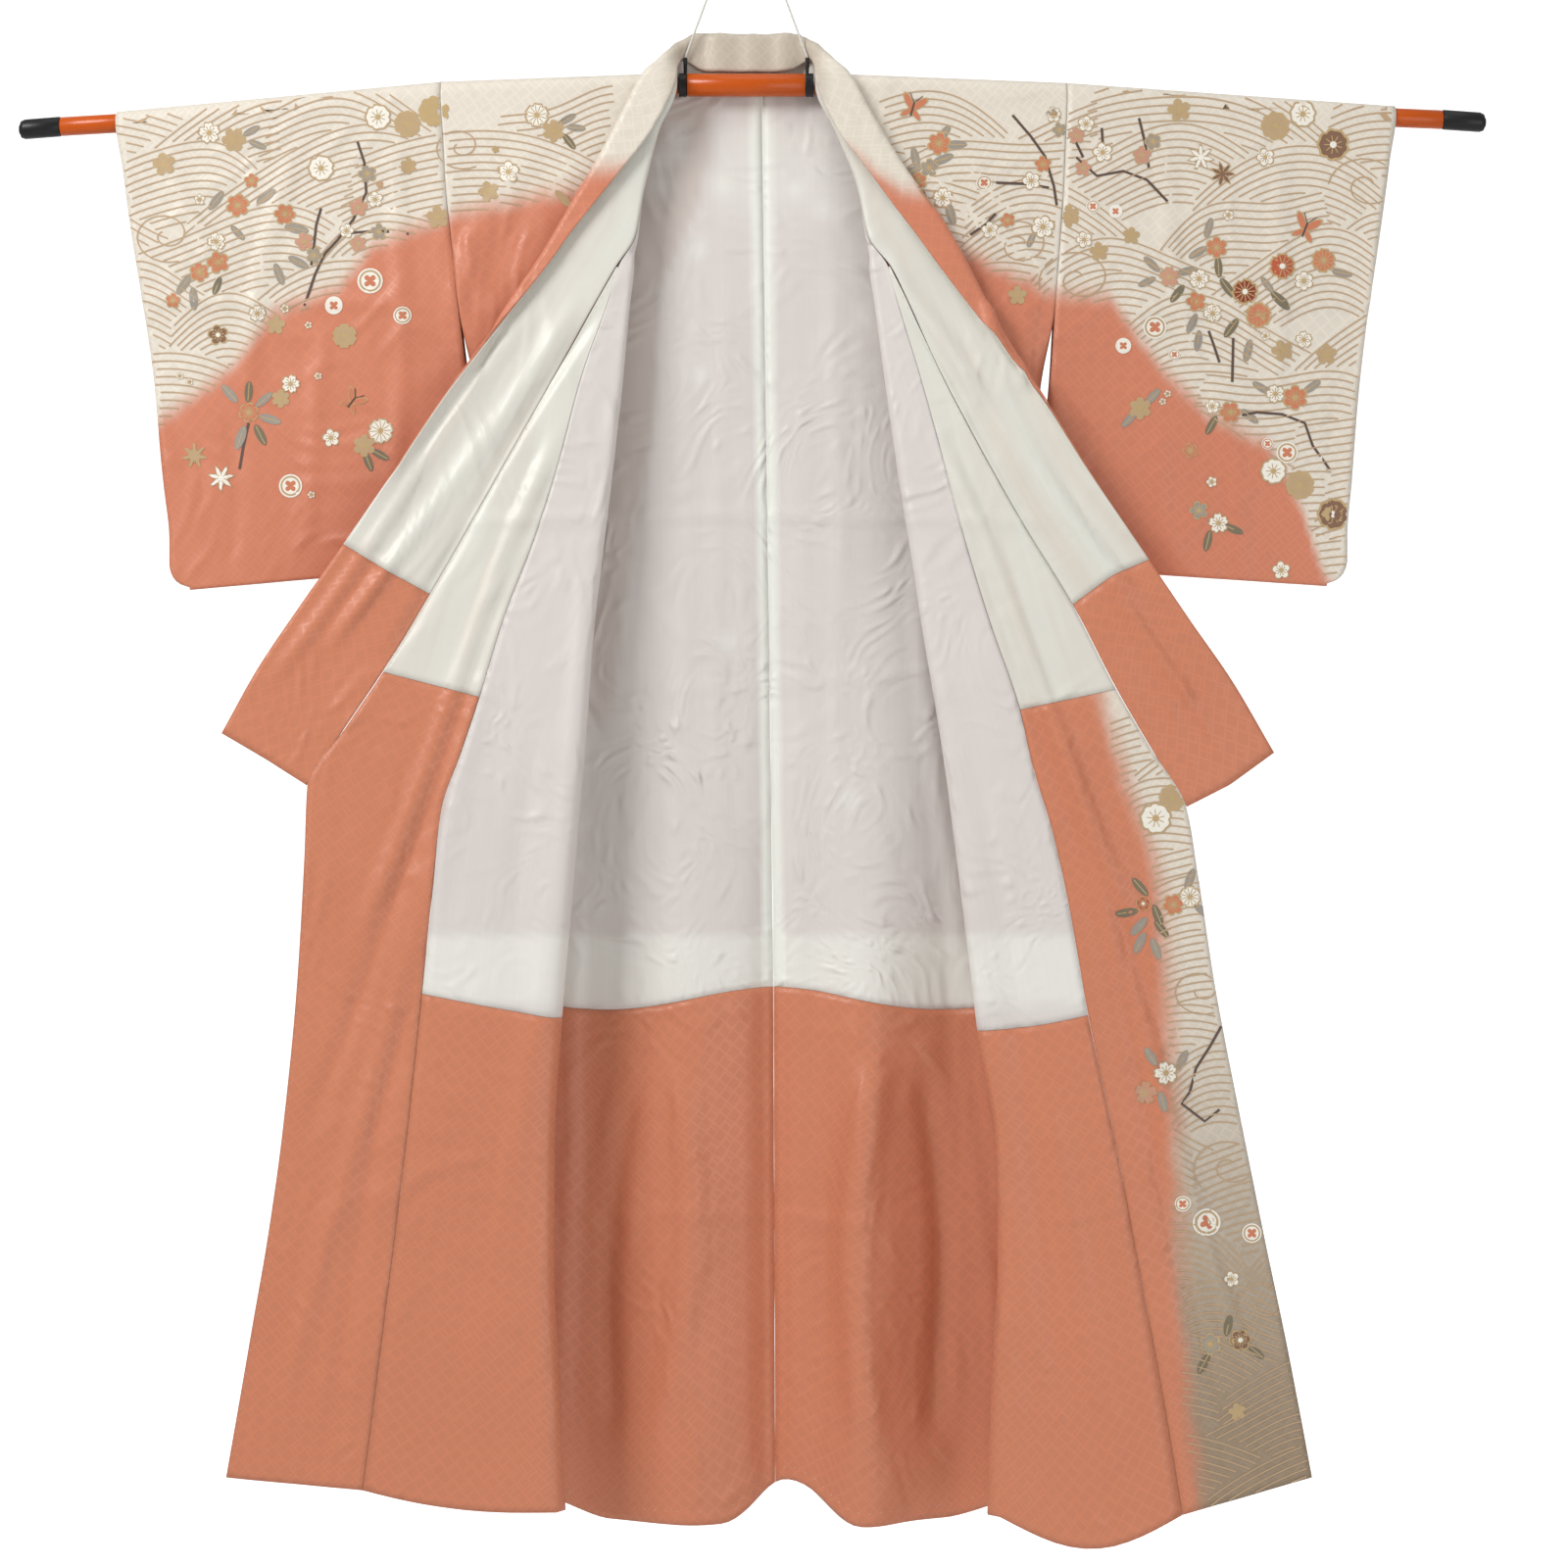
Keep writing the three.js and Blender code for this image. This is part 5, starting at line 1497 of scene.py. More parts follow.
def wave_crests(region, seed):
    """Middles, half widths, heights, tilts and sways of overlapping wave crests, the later ones in front."""
    x0, y0, x1, y1 = region
    dice = random.Random(seed)
    crests, y, odd = [], y0, False
    while y < y1:
        x = x0 + (WAVE_ACROSS / 2 if odd else 0)
        while x < x1:
            shift_x, shift_y = (dice.uniform(*limits) for limits in WAVE_SHIFT)
            shape = [dice.uniform(*limits) for limits in CREST_SHAPE]
            crests.append((x + shift_x, y + shift_y, *shape))
            x += WAVE_ACROSS
        y += WAVE_DOWN
        odd = not odd
    return crests


def crest_height(crest, x):
    middle, top, half, height, tilt, sway = crest
    share = (x - middle) / half
    tilted = top + height * share * share + tilt * (x - middle)
    return tilted + sway * math.sin(CREST_SWAY_RATE * share)


def wave_strokes(crests):
    """Lines under each crest, cut off where a later crest stands in front of them."""
    for number, crest in enumerate(crests):
        middle, half = crest[0], crest[2]
        later = crests[number + 1:]
        for k in range(WAVE_LINES):
            reach = half * (1 + CREST_WIDEN * k)
            line = []
            for x in np.linspace(middle - reach, middle + reach, WAVE_STEPS):
                y = crest_height(crest, x) + k * WAVE_SPACING
                if any(abs(x - c[0]) < c[2] and y > crest_height(c, x) - CREST_MARGIN for c in later):
                    if len(line) > 1:
                        yield line
                    line = []
                else:
                    line.append((float(x), float(y)))
            if len(line) > 1:
                yield line


def swirl(x, y, radius, turn):
    """A spiral line curling in to its middle."""
    line = []
    for share in np.linspace(0, 1, SWIRL_STEPS + 1):
        reach, angle = radius * (1 - SWIRL_IN * share), turn + SWIRL_ANGLE * share
        line.append((x + reach * math.cos(angle), y + SWIRL_FLAT * reach * math.sin(angle)))
    return line


# Motifs of each kind and colour: where each shows and its radius in pixels, and its turn in radians
PATTERN = {
    ("cherry", "white"): (
        (214, 136, 13, 0.2), (221, 247, 11, 0), (263, 320, 10, 0.3), (297, 392, 11, 0.6),
        (1223, 285, 12, 0.6), (1237, 320, 11, 0), (1330, 347, 10, 0.2), (1301, 402, 11, 0),
        (1243, 534, 12, 0.2), (962, 202, 12, 0.3), (1189, 1095, 14, 0), (1290, 1200, 9, 0),
        (830, 1432, 13, 0),
    ),
    ("bloom", "tan"): (
        (239, 143, 13, 0.5), (417, 170, 9, 0), (287, 407, 10, 0), (372, 455, 12, 0), (1090, 221, 12, 0),
        (1163, 417, 12, 0), (565, 134, 12, 0), (870, 113, 10, 0.2),
    ),
    ("leaf", "grey"): (
        (257, 134, 10, -0.5), (263, 148, 10, 0.4), (221, 205, 12, -0.9), (272, 201, 12, -0.6),
        (303, 234, 13, 0.2), (305, 268, 12, 0.5), (285, 280, 12, 1.2), (188, 291, 12, 2.2),
        (198, 305, 12, 1.5), (243, 238, 10, 0.8), (235, 402, 12, -2.3), (270, 408, 11, -0.7),
        (276, 428, 12, 0.3), (246, 447, 13, 1.9), (1233, 233, 11, -1.3), (1222, 258, 11, 2.6),
        (1211, 277, 11, 2.9), (1175, 270, 11, -2.4), (1170, 288, 10, 2.7), (1216, 330, 11, 2.0),
        (1222, 348, 11, 1.7), (1293, 291, 10, 0.9), (1369, 279, 11, 0.2), (1273, 358, 12, 1.8),
        (1338, 395, 11, -0.6), (1287, 396, 11, -2.6), (1275, 425, 11, 0.7), (1152, 428, 11, 2.3),
        (1176, 405, 11, -0.8), (579, 122, 10, -0.5), (588, 131, 10, 0.1), (962, 138, 12, -0.9),
        (975, 148, 12, 0), (962, 163, 12, -0.4), (934, 162, 12, -1.8), (930, 175, 11, 2.8),
        (970, 218, 13, 1.3), (1052, 245, 9, 2.0), (1162, 945, 12, 2.3), (1163, 962, 12, 2.0),
        (1179, 968, 12, 1.2), (1214, 897, 12, -1.2), (1228, 930, 12, 0.6), (1206, 1082, 12, -1.1),
        (1174, 1078, 11, -2.1), (1186, 1124, 11, 1.3), (592, 1432, 12, 2.6), (634, 1440, 12, 0.6),
        (852, 1440, 12, 0.4), (892, 1405, 12, -0.7),
    ),
    ("plum", "tan"): (
        (168, 168, 12, 0.1), (447, 222, 12, 0.2), (282, 332, 10, 0.4), (1203, 113, 12, 0.1),
        (1121, 257, 10, 0.2), (1154, 241, 9, 0.4), (1308, 358, 11, 0), (1353, 362, 11, 0.3),
        (506, 153, 4, 0), (499, 196, 11, 0), (1038, 302, 10, 0.3), (1262, 1440, 9, 0.1),
        (738, 1405, 10, 0.3), (790, 1380, 9, 0),
    ),
    ("plum", "orange"): (
        (257, 185, 8, 0.3), (223, 268, 12, 0), (177, 307, 8, 0.4), (1220, 308, 11, 0), (1214, 460, 8, 0),
        (1064, 168, 9, 0.2), (1028, 225, 8, 0),
    ),
    ("leaf", "olive"): (
        (222, 292, 10, 1.9), (254, 400, 11, -1.5), (266, 444, 12, 1.1), (388, 464, 11, 0.5),
        (376, 471, 11, 1.2), (1243, 273, 11, 1.5), (1201, 300, 11, 2.2), (1252, 294, 12, -2.2),
        (1306, 307, 13, 0.8), (1256, 335, 12, 2.2), (1236, 434, 11, 2.1), (1258, 540, 11, 0.4),
        (1232, 552, 11, 1.8), (581, 145, 10, 0.9), (952, 232, 12, 0.9), (1163, 905, 12, -2.3),
        (1149, 931, 12, 3.0), (1181, 934, 12, 1.2), (1185, 948, 11, 0.9), (1228, 1391, 12, 2.1),
        (1253, 1352, 11, -1.4), (1281, 1379, 11, 0.7), (722, 1452, 12, 0.6),
    ),
    ("bloom", "orange"): (
        (243, 210, 13, 0.2), (291, 219, 12, 0.6), (204, 278, 11, 0.9), (254, 421, 11, 0.2),
        (1241, 253, 12, 0), (1321, 406, 14, 0), (1255, 421, 12, 0.5), (958, 147, 13, 0.2),
        (937, 185, 10, 0), (1197, 923, 12, 0.3), (612, 1428, 14, 0), (871, 1418, 14, 0.4),
    ),
    ("plum", "white"): (
        (204, 204, 6, 0.3), (383, 204, 9, 0.2), (354, 236, 8, 0.5), (315, 332, 4, 0), (291, 315, 5, 0),
        (184, 384, 4, 0), (194, 390, 4, 0), (325, 384, 4, 0), (338, 447, 10, 0.1), (318, 505, 4, 0),
        (1291, 161, 10, 0), (1108, 127, 9, 0.4), (1125, 156, 11, 0.1), (1106, 245, 9, 0), (1253, 220, 6, 0),
        (1291, 343, 5, 0), (1237, 415, 8, 0.2), (1191, 402, 4, 0), (1186, 410, 4, 0), (1236, 492, 6, 0),
        (1307, 582, 10, 0.2), (1075, 116, 7, 0), (519, 176, 12, 0.3), (1052, 185, 10, 0),
        (1010, 235, 9, 0.2), (1075, 118, 8, 0.3), (1256, 1305, 9, 0), (988, 1440, 10, 0.3),
    ),
    ("plum", "grey"): (
        (375, 178, 10, 0), (387, 237, 9, 0.3), (321, 261, 9, 0.7), (1081, 133, 8, 0), (1176, 145, 9, 0),
        (1223, 521, 10, 0), (948, 172, 10, 0.4),
    ),
    ("plum", "pink"): (
        (366, 212, 10, 0.4), (388, 189, 4, 0), (366, 249, 9, 0.1), (311, 247, 10, 0), (1098, 139, 9, 0.2),
        (1105, 172, 9, 0.5), (1165, 159, 10, 0.3),
    ),
    ("pine", "white"): (
        (386, 120, 14, 0), (328, 172, 14, 0), (1329, 117, 14, 0.2), (1299, 481, 14, 0),
        (1179, 835, 17, 0.1), (640, 1395, 16, 0),
    ),
    ("pine", "tan"): (
        (416, 127, 14, 0.2), (1301, 129, 15, 0), (1326, 495, 15, 0.1), (1196, 814, 14, 0),
        (668, 1412, 15, 0.2), (962, 1405, 16, 0),
    ),
    ("pine", "gold"): (
        (443, 114, 16, 0.1),
    ),
    ("jewel", "tan"): (
        (378, 287, 13, 0), (411, 322, 9, 0), (297, 496, 12, 0), (1115, 211, 7, 0), (1178, 334, 12, 0),
        (1198, 362, 6, 0), (1313, 462, 11, 0), (1004, 187, 8, 0), (1207, 1228, 8, 0), (1231, 1247, 14, 0.3),
        (1277, 1258, 10, 0), (690, 1350, 10, 0),
    ),
    ("jewel", "white"): (
        (341, 312, 9, 0), (1138, 216, 7, 0), (1146, 353, 8, 0),
    ),
    ("mum", "tan"): (
        (352, 343, 13, 0),
    ),
    ("plum", "brown"): (
        (223, 342, 11, 0.1),
    ),
    ("butterfly", "orange"): (
        (359, 411, 15, -0.9), (1331, 235, 18, -1.2), (931, 112, 17, -1.3), (900, 1340, 18, -1.1),
    ),
    ("mum", "white"): (
        (389, 440, 14, 0.2), (548, 118, 13, 0.1), (1214, 915, 12, 0), (700, 1440, 14, 0),
    ),
    ("maple", "tan"): (
        (199, 465, 14, 0.2),
    ),
    ("maple", "white"): (
        (226, 488, 15, 0.7), (1225, 161, 15, 0.2),
    ),
    ("pine", "brown"): (
        (1360, 148, 17, 0), (1360, 525, 17, 0),
    ),
    ("maple", "brown"): (
        (1247, 178, 14, 0.9),
    ),
    ("cherry", "pink"): (
        (1193, 283, 12, 0.3), (1169, 1115, 13, 0.4),
    ),
    ("mum", "rust"): (
        (1308, 272, 14, 0), (928, 1440, 14, 0),
    ),
    ("mum", "dark"): (
        (1270, 298, 14, 0.2),
    ),
    ("mum", "orange"): (
        (1350, 266, 13, 0.1), (1284, 322, 14, 0),
    ),
    ("bloom", "white"): (
        (1330, 287, 11, 0), (1064, 232, 13, 0.3),
    ),
    ("jewel", "orange"): (
        (1293, 453, 6, 0),
    ),
    ("leaf", "tan"): (
        (575, 203, 12, 0.8),
    ),
    ("plum", "rust"): (
        (1166, 922, 8, 0.2),
    ),
    ("bloom", "grey"): (
        (1235, 1371, 12, 0),
    ),
    ("bloom", "brown"): (
        (1265, 1367, 12, 0.4),
    ),
}
BRANCHES = (
    ((311, 312), (322, 280), (332, 259), (345, 245), (361, 224), (374, 197), (372, 166), (365, 145)),
    ((357, 238), (388, 236), (417, 239)), ((318, 271), (321, 248), (323, 230), (328, 213)),
    ((245, 479), (249, 455), (254, 432)),
    ((1070, 161), (1098, 161), (1119, 180), (1146, 175), (1170, 184), (1191, 206)),
    ((1083, 118), (1094, 138), (1105, 161)), ((1124, 131), (1125, 148)),
    ((1162, 121), (1168, 146), (1172, 172)),
    ((1033, 118), (1052, 140), (1066, 160), (1075, 190), (1078, 210)),
    ((1016, 187), (1045, 188), (1070, 192)), ((990, 240), (1005, 230), (1016, 218)),
    ((1244, 370), (1238, 352), (1233, 338)), ((1257, 390), (1258, 345)),
    ((1267, 424), (1282, 421), (1308, 423), (1331, 432), (1339, 455), (1356, 479)),
    ((1246, 1047), (1234, 1068), (1220, 1090), (1214, 1114), (1205, 1126), (1229, 1144), (1244, 1132)),
    ((942, 196), (955, 222), (966, 240)),
)
SWIRLS = (
    (1100, 285, 42, 2.6), (430, 262, 34, 0.4), (470, 150, 30, 1.0), (1395, 190, 40, 3.2),
    (1255, 1190, 40, 2.4), (1225, 1010, 34, 0.6), (1290, 1330, 34, 1.8), (1040, 250, 34, 3.4),
    (170, 240, 36, 1.2),
)
SHOULDER_WAVES = (96, 92, 1500, 640)
OKUMI_WAVES = (1120, 740, 1400, 1540)
HEM_WAVES = (520, 1330, 1060, 1480)


def keeps_waves(window, x, y):
    """Waves lie on the cream and fade out where the salmon begins."""
    if "okumi" in window.node:
        return okumi_dye(x, y) < WAVES_FADE
    if window.node == "over_collar":
        return collar_dye(x, y) < WAVES_FADE
    if window.mirror is not None:
        x = window.mirror - x
    return shoulder_dye(x, y) < WAVES_FADE or y > HEM_WAVES[1]


def wave_fields():
    regions = (SHOULDER_WAVES, OKUMI_WAVES, HEM_WAVES)
    return [wave_strokes(wave_crests(region, SEED + k)) for k, region in enumerate(regions)]


def within(window, line):
    """The runs of a line that lie where a piece keeps its waves."""
    run = []
    for x, y in line:
        if keeps_waves(window, x, y):
            run.append((x, y))
        elif run:
            if len(run) > 1:
                yield run
            run = []
    if len(run) > 1:
        yield run


def may_hold(window, line):
    """Whether a line comes near a window at all."""
    xs = [window.mirror - x if window.mirror is not None else x for x, _ in line]
    ys = [y for _, y in line]
    reach_x = window.low[0] - WAVE_ACROSS < max(xs) and min(xs) < window.high[0] + WAVE_ACROSS
    return reach_x and window.low[1] < max(ys) and min(ys) < window.high[1]


def path_curve(name, paths):
    """Curve data with one straight-edged path for each run of points in millimetres."""
    data = bpy.data.curves.new(name, "CURVE")
    data.dimensions = "3D"
    for path in paths:
        spline = data.splines.new("POLY")
        spline.points.add(len(path) - 1)
        for place, spot in zip(spline.points, path):
            place.co = (*(np.asarray(spot) * MM), 1)
    return data


def new_curve(name, points, radius, material):
    """A round cord through points in millimetres."""
    data = path_curve(name, [points])
    data.bevel_depth = radius * MM
    data.bevel_resolution = 4
    data.use_fill_caps = True
    data.materials.append(material)
    return linked(name, data)


def turned_rod(node, stops, material):
    """A turned rod of the hanger with softened rims, in place of its node; stops are (x, drop, radius)."""
    stops = sorted(stops)
    rings = [(stops[0][0], stops[0][1], stops[0][2] - RIM)]
    for number, (x, drop, radius) in enumerate(stops):
        if number == 0:
            rings.append((x + RIM, drop, radius))
        elif number == len(stops) - 1:
            rings += [(x - RIM, drop, radius), (x, drop, radius - RIM)]
        else:
            rings.append((x, drop, radius))
    form = bmesh.new()
    circles = []
    for x, drop, radius in rings:
        circle = []
        for k in range(ROD_SIDES):
            angle = 2 * math.pi * k / ROD_SIDES
            place = (x, radius * math.cos(angle), -ROD_DROP - drop + radius * math.sin(angle))
            circle.append(form.verts.new([value * MM for value in place]))
        circles.append(circle)
    for near, far in zip(circles, circles[1:]):
        for k in range(ROD_SIDES):
            after = (k + 1) % ROD_SIDES
            form.faces.new((near[k], near[after], far[after], far[k]))
    form.faces.new(circles[0])
    form.faces.new(circles[-1])
    bmesh.ops.recalc_face_normals(form, faces=form.faces)
    mesh = bpy.data.meshes.new(node + "_turned")
    form.to_mesh(mesh)
    form.free()
    mesh.materials.append(material)
    mesh.shade_smooth()
    mesh.set_sharp_from_angle(angle=math.radians(SHARP_ANGLE))
    thing = linked(node + "_turned", mesh)
    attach(thing, "root")
    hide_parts(node)


def hand_stitches(material):
    """A node tree that lays stitches along a path: pitch, length, thickness and seed are its inputs."""
    tree = bpy.data.node_groups.new("Hand stitches", "GeometryNodeTree")
    face = tree.interface
    face.new_socket("Path", in_out="INPUT", socket_type="NodeSocketGeometry")
    for name in ("Pitch", "Length", "Thickness"):
        face.new_socket(name, in_out="INPUT", socket_type="NodeSocketFloat")
    face.new_socket("Seed", in_out="INPUT", socket_type="NodeSocketInt")
    face.new_socket("Stitches", in_out="OUTPUT", socket_type="NodeSocketGeometry")
    nodes = tree.nodes
    inward, outward = nodes.new("NodeGroupInput"), nodes.new("NodeGroupOutput")
    steps = nodes.new("GeometryNodeResampleCurve")
    steps.mode = "LENGTH"
    bead = nodes.new("GeometryNodeMeshUVSphere")
    bead.inputs["Segments"].default_value = 6
    bead.inputs["Rings"].default_value = 4
    bead.inputs["Radius"].default_value = 0.5
    tangent = nodes.new("GeometryNodeInputTangent")
    turn = nodes.new("FunctionNodeAlignRotationToVector")
    turn.axis = "X"
    chance = nodes.new("FunctionNodeRandomValue")
    chance.inputs[2].default_value = 0.8
    chance.inputs[3].default_value = 1.15
    longer = nodes.new("ShaderNodeMath")
    longer.operation = "MULTIPLY"
    size = nodes.new("ShaderNodeCombineXYZ")
    spread = nodes.new("GeometryNodeInstanceOnPoints")
    whole = nodes.new("GeometryNodeRealizeInstances")
    paint = nodes.new("GeometryNodeSetMaterial")
    paint.inputs["Material"].default_value = material
    for source, given, target, taken in (
        (inward, "Path", steps, "Curve"), (inward, "Pitch", steps, "Length"),
        (inward, "Seed", chance, "Seed"), (chance, 1, longer, 0), (inward, "Length", longer, 1),
        (longer, 0, size, "X"), (inward, "Thickness", size, "Y"), (inward, "Thickness", size, "Z"),
        (tangent, "Tangent", turn, "Vector"), (steps, "Curve", spread, "Points"),
        (bead, "Mesh", spread, "Instance"), (turn, "Rotation", spread, "Rotation"),
        (size, "Vector", spread, "Scale"), (spread, "Instances", whole, "Geometry"),
        (whole, "Geometry", paint, "Geometry"), (paint, "Geometry", outward, "Stitches"),
    ):
        tree.links.new(source.outputs[given], target.inputs[taken])
    return tree


def stitched(name, paths, sizes):
    """Stitches along several paths as one plain mesh on the body."""
    carrier = linked(name + "_paths", path_curve(name + "_paths", paths))
    modifier = carrier.modifiers.new("Stitches", "NODES")
    modifier.node_group = hand_stitches(looks()["thread"])
    for item in modifier.node_group.interface.items_tree:
        if item.name in sizes:
            modifier[item.identifier] = sizes[item.name]
    seen = carrier.evaluated_get(bpy.context.evaluated_depsgraph_get())
    mesh = bpy.data.meshes.new_from_object(seen)
    carrier.modifiers.remove(modifier)
    bpy.data.objects.remove(carrier)
    mesh.shade_smooth()
    thing = linked(name, mesh)
    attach(thing, "root")


def edge_path(surface, rows, column, inset, offset):
    """A path just inside the edge of a surface, raised off its cloth."""
    first, last = rows
    edge = surface.points[first:last + 1, column]
    step = -1 if column else 1
    inner = surface.points[first:last + 1, column + step]
    inward = inner - edge
    inward /= np.maximum(np.linalg.norm(inward, axis=1, keepdims=True), 1e-9)
    return edge + inward * inset + surface.normals[first:last + 1, column] * offset


class KimonoDyes(bpy.types.PropertyGroup):
    """Colours of the silk and the hanger."""

    cream: FloatVectorProperty(
        name="Cream", description="Ground of the shoulders and sleeves", size=4, default=CREAM, min=0, max=1,
        subtype="COLOR",
    )
    salmon: FloatVectorProperty(
        name="Salmon", description="Ground of the body below the shoulders", size=4, default=SALMON,
        min=0, max=1, subtype="COLOR",
    )
    hanger: FloatVectorProperty(
        name="Hanger", description="Colour of the hanger's plastic", size=4, default=ORANGE, min=0, max=1,
        subtype="COLOR",
    )


class KimonoSewing(bpy.types.PropertyGroup):
    """Sizes of the sewing and of the hanging cord."""

    pitch: FloatProperty(
        name="Pitch", description="From one stitch to the next", default=0.012, min=0.004, max=0.05,
        unit="LENGTH",
    )
    stitch: FloatProperty(
        name="Stitch", description="Length of a stitch that shows", default=0.0022, min=0.0005, max=0.01,
        unit="LENGTH",
    )
    thread: FloatProperty(
        name="Thread", description="Thickness of the sewing thread", default=0.0005, min=0.0002, max=0.002,
        unit="LENGTH",
    )
    cord: FloatProperty(
        name="Cord", description="Thickness of the hanging cord", default=0.0022, min=0.001, max=0.005,
        unit="LENGTH",
    )


class KimonoStudio(bpy.types.PropertyGroup):
    """Light on the hanging kimono."""

    light: FloatProperty(name="Light", description="Strength of every lamp", default=1.0, min=0.1, max=5)
    air: FloatProperty(
        name="Air", description="Strength of the light from all round", default=0.4, min=0, max=3,
    )


class KIMONO_OT_studio(bpy.types.Operator):
    """Sets up the camera, the lamps and the white wall and floor"""

    bl_idname = "kimono.studio"
    bl_label = "Studio"

    def execute(self, context):
        scene = context.scene
        scene.view_settings.view_transform = "Standard"
        camera = linked("Camera", bpy.data.cameras.new("Camera"))
        camera.location = (CAMERA_X * MM, -CAMERA_DISTANCE * MM, (-ROD_DROP - CAMERA_DROP) * MM)
        camera.rotation_euler = (math.pi / 2, 0, 0)
        camera.data.lens = LENS
        scene.camera = camera
        for name, place, size, power in LAMPS:
            lamp = bpy.data.lights.new(name, "AREA")
            lamp.size = size
            lamp.energy = power * scene.kimono_studio.light
            thing = linked(name, lamp)
            thing.location = place
            thing.rotation_euler = (Vector(LIT_POINT) - Vector(place)).to_track_quat("-Z", "Y").to_euler()
        foot = [(ROOM, ROOM, FLOOR_Z), (-ROOM, ROOM, FLOOR_Z)]
        wall = [(-ROOM, ROOM, ROOM), (ROOM, ROOM, ROOM), *foot]
        floor = [(-ROOM, -ROOM, FLOOR_Z), (ROOM, -ROOM, FLOOR_Z), *foot]
        new_object("Wall", wall, [(3, 2, 1, 0)], wall_look("Studio wall", WALL_GLOW))
        new_object("Floor", floor, [(0, 1, 2, 3)], wall_look("Studio floor", 0))
        world = bpy.data.worlds.new("World")
        world.use_nodes = True
        background = world.node_tree.nodes["Background"]
        background.inputs["Color"].default_value = (1, 1, 1, 1)
        background.inputs["Strength"].default_value = scene.kimono_studio.air
        scene.world = world
        return {"FINISHED"}


class KIMONO_OT_hanging_cord(bpy.types.Operator):
    """Ties the white cord from knob to knob over its hook"""

    bl_idname = "kimono.hanging_cord"
    bl_label = "Hanging cord"

    def execute(self, context):
        width = context.scene.kimono_sewing.cord
        left = [(-out, 0, height) for out, height in CORD_HALF]
        right = [(out, 0, height) for out, height in reversed(CORD_HALF)]
        line = left + [(0, 0, -width / MM / 2)] + right
        length = sum(math.dist(a, b) for a, b in zip(line, line[1:])) * MM
        cord = new_curve("hanging_cord", line, width / MM / 2, looks()["cord"])
        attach(cord, "root")
        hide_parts("hang_cord")
        foot = [value * MM for value in line[0]]
        return {"FINISHED"}


class KIMONO_OT_body(bpy.types.Operator):
    """Hangs the two body panels with their linings and hem linings"""

    bl_idname = "kimono.body"
    bl_label = "Body panels"

    def execute(self, context):
        for side in (LEFT, RIGHT):
            name, facing = side["name"], -side["sign"]
            body = surfaces()["body_" + name]
            middle = body.index[len(BACK_DROPS)]
            back_end, front_end = body.index[BACK_LINING_END], body.index[FRONT_START + FRONT_LINING_END]
            last = len(body.points) - 1
            cloth("body_" + name, body, facing, SILK_PLY, "silk", edges=SEAMS, middle=middle)
            cloth("lining_body_" + name, body, facing, LINING_PLY, "lining", rows=(back_end, front_end),
                  edges=(*SEAMS, "start", "end"), middle=middle)
            cloth("hakkake_back_" + name, body, facing, LINING_PLY, "hem", rows=(0, back_end),
                  edges=(*SEAMS, "end"), middle=middle)
            cloth("hakkake_front_" + name, body, facing, LINING_PLY, "hem", rows=(front_end, last),
                  edges=(*SEAMS, "start"))
        return {"FINISHED"}


class KIMONO_OT_okumi(bpy.types.Operator):
    """Hangs the two okumi, the overlapping front panels, with their linings"""

    bl_idname = "kimono.okumi"
    bl_label = "Okumi"

    def execute(self, context):
        for side in (LEFT, RIGHT):
            name, facing = side["name"], side["sign"]
            okumi = surfaces()["okumi_" + name]
            end, last = okumi.index[OKUMI_LINING_END - OKUMI_TOP], len(okumi.points) - 1
            cloth("okumi_" + name, okumi, facing, SILK_PLY, "silk", edges=SEAMS)
            cloth("lining_okumi_" + name, okumi, facing, LINING_PLY, "satin", rows=(0, end),
                  edges=(*SEAMS, "end"))
            cloth("hakkake_okumi_" + name, okumi, facing, LINING_PLY, "hem", rows=(end, last),
                  edges=(*SEAMS, "start"))
        return {"FINISHED"}


class KIMONO_OT_sleeves(bpy.types.Operator):
    """Hangs the two wide sleeves on the hanger's arms"""

    bl_idname = "kimono.sleeves"
    bl_label = "Sleeves"

    def execute(self, context):
        for side in (LEFT, RIGHT):
            node = "sleeve_" + side["name"]
            cloth(node, surfaces()[node], -side["sign"], SILK_PLY, "silk", edges=("first",))
        return {"FINISHED"}


class KIMONO_OT_collar(bpy.types.Operator):
    """Folds the collar with its lining, its two ends and the over-collar"""

    bl_idname = "kimono.collar"
    bl_label = "Collar"

    def execute(self, context):
        collar = surfaces()["collar"]
        neck = len(NECK_COLLAR)
        width = (1, sum(COLLAR_COLUMNS) + 1)
        left_end = collar.index[collar.middle - neck - COLLAR_LINING_END]
        right_end = collar.index[collar.middle + neck + COLLAR_LINING_END]
        last = len(collar.points) - 1
        cloth("collar", collar, 1, SILK_PLY, "silk", columns=width)
        cloth("lining_collar", collar, 1, LINING_PLY, "satin", rows=(left_end, right_end), columns=width,
              edges=("start", "end"))
        cloth("collar_tip_lining_left", collar, 1, LINING_PLY, "hem", rows=(0, left_end), columns=width,
              edges=("end",))
        cloth("collar_tip_lining_right", collar, 1, LINING_PLY, "hem", rows=(right_end, last), columns=width,
              edges=("start",))
        over_left = collar.index[collar.middle - neck - LEFT_OVER_END]
        over_right = collar.index[collar.middle + neck + RIGHT_OVER_END]
        cloth("over_collar", collar, 1, OVER_PLY, "silk", rows=(over_left, over_right),
              columns=(COLLAR_COLUMNS[0] + 1, width[1]))
        return {"FINISHED"}


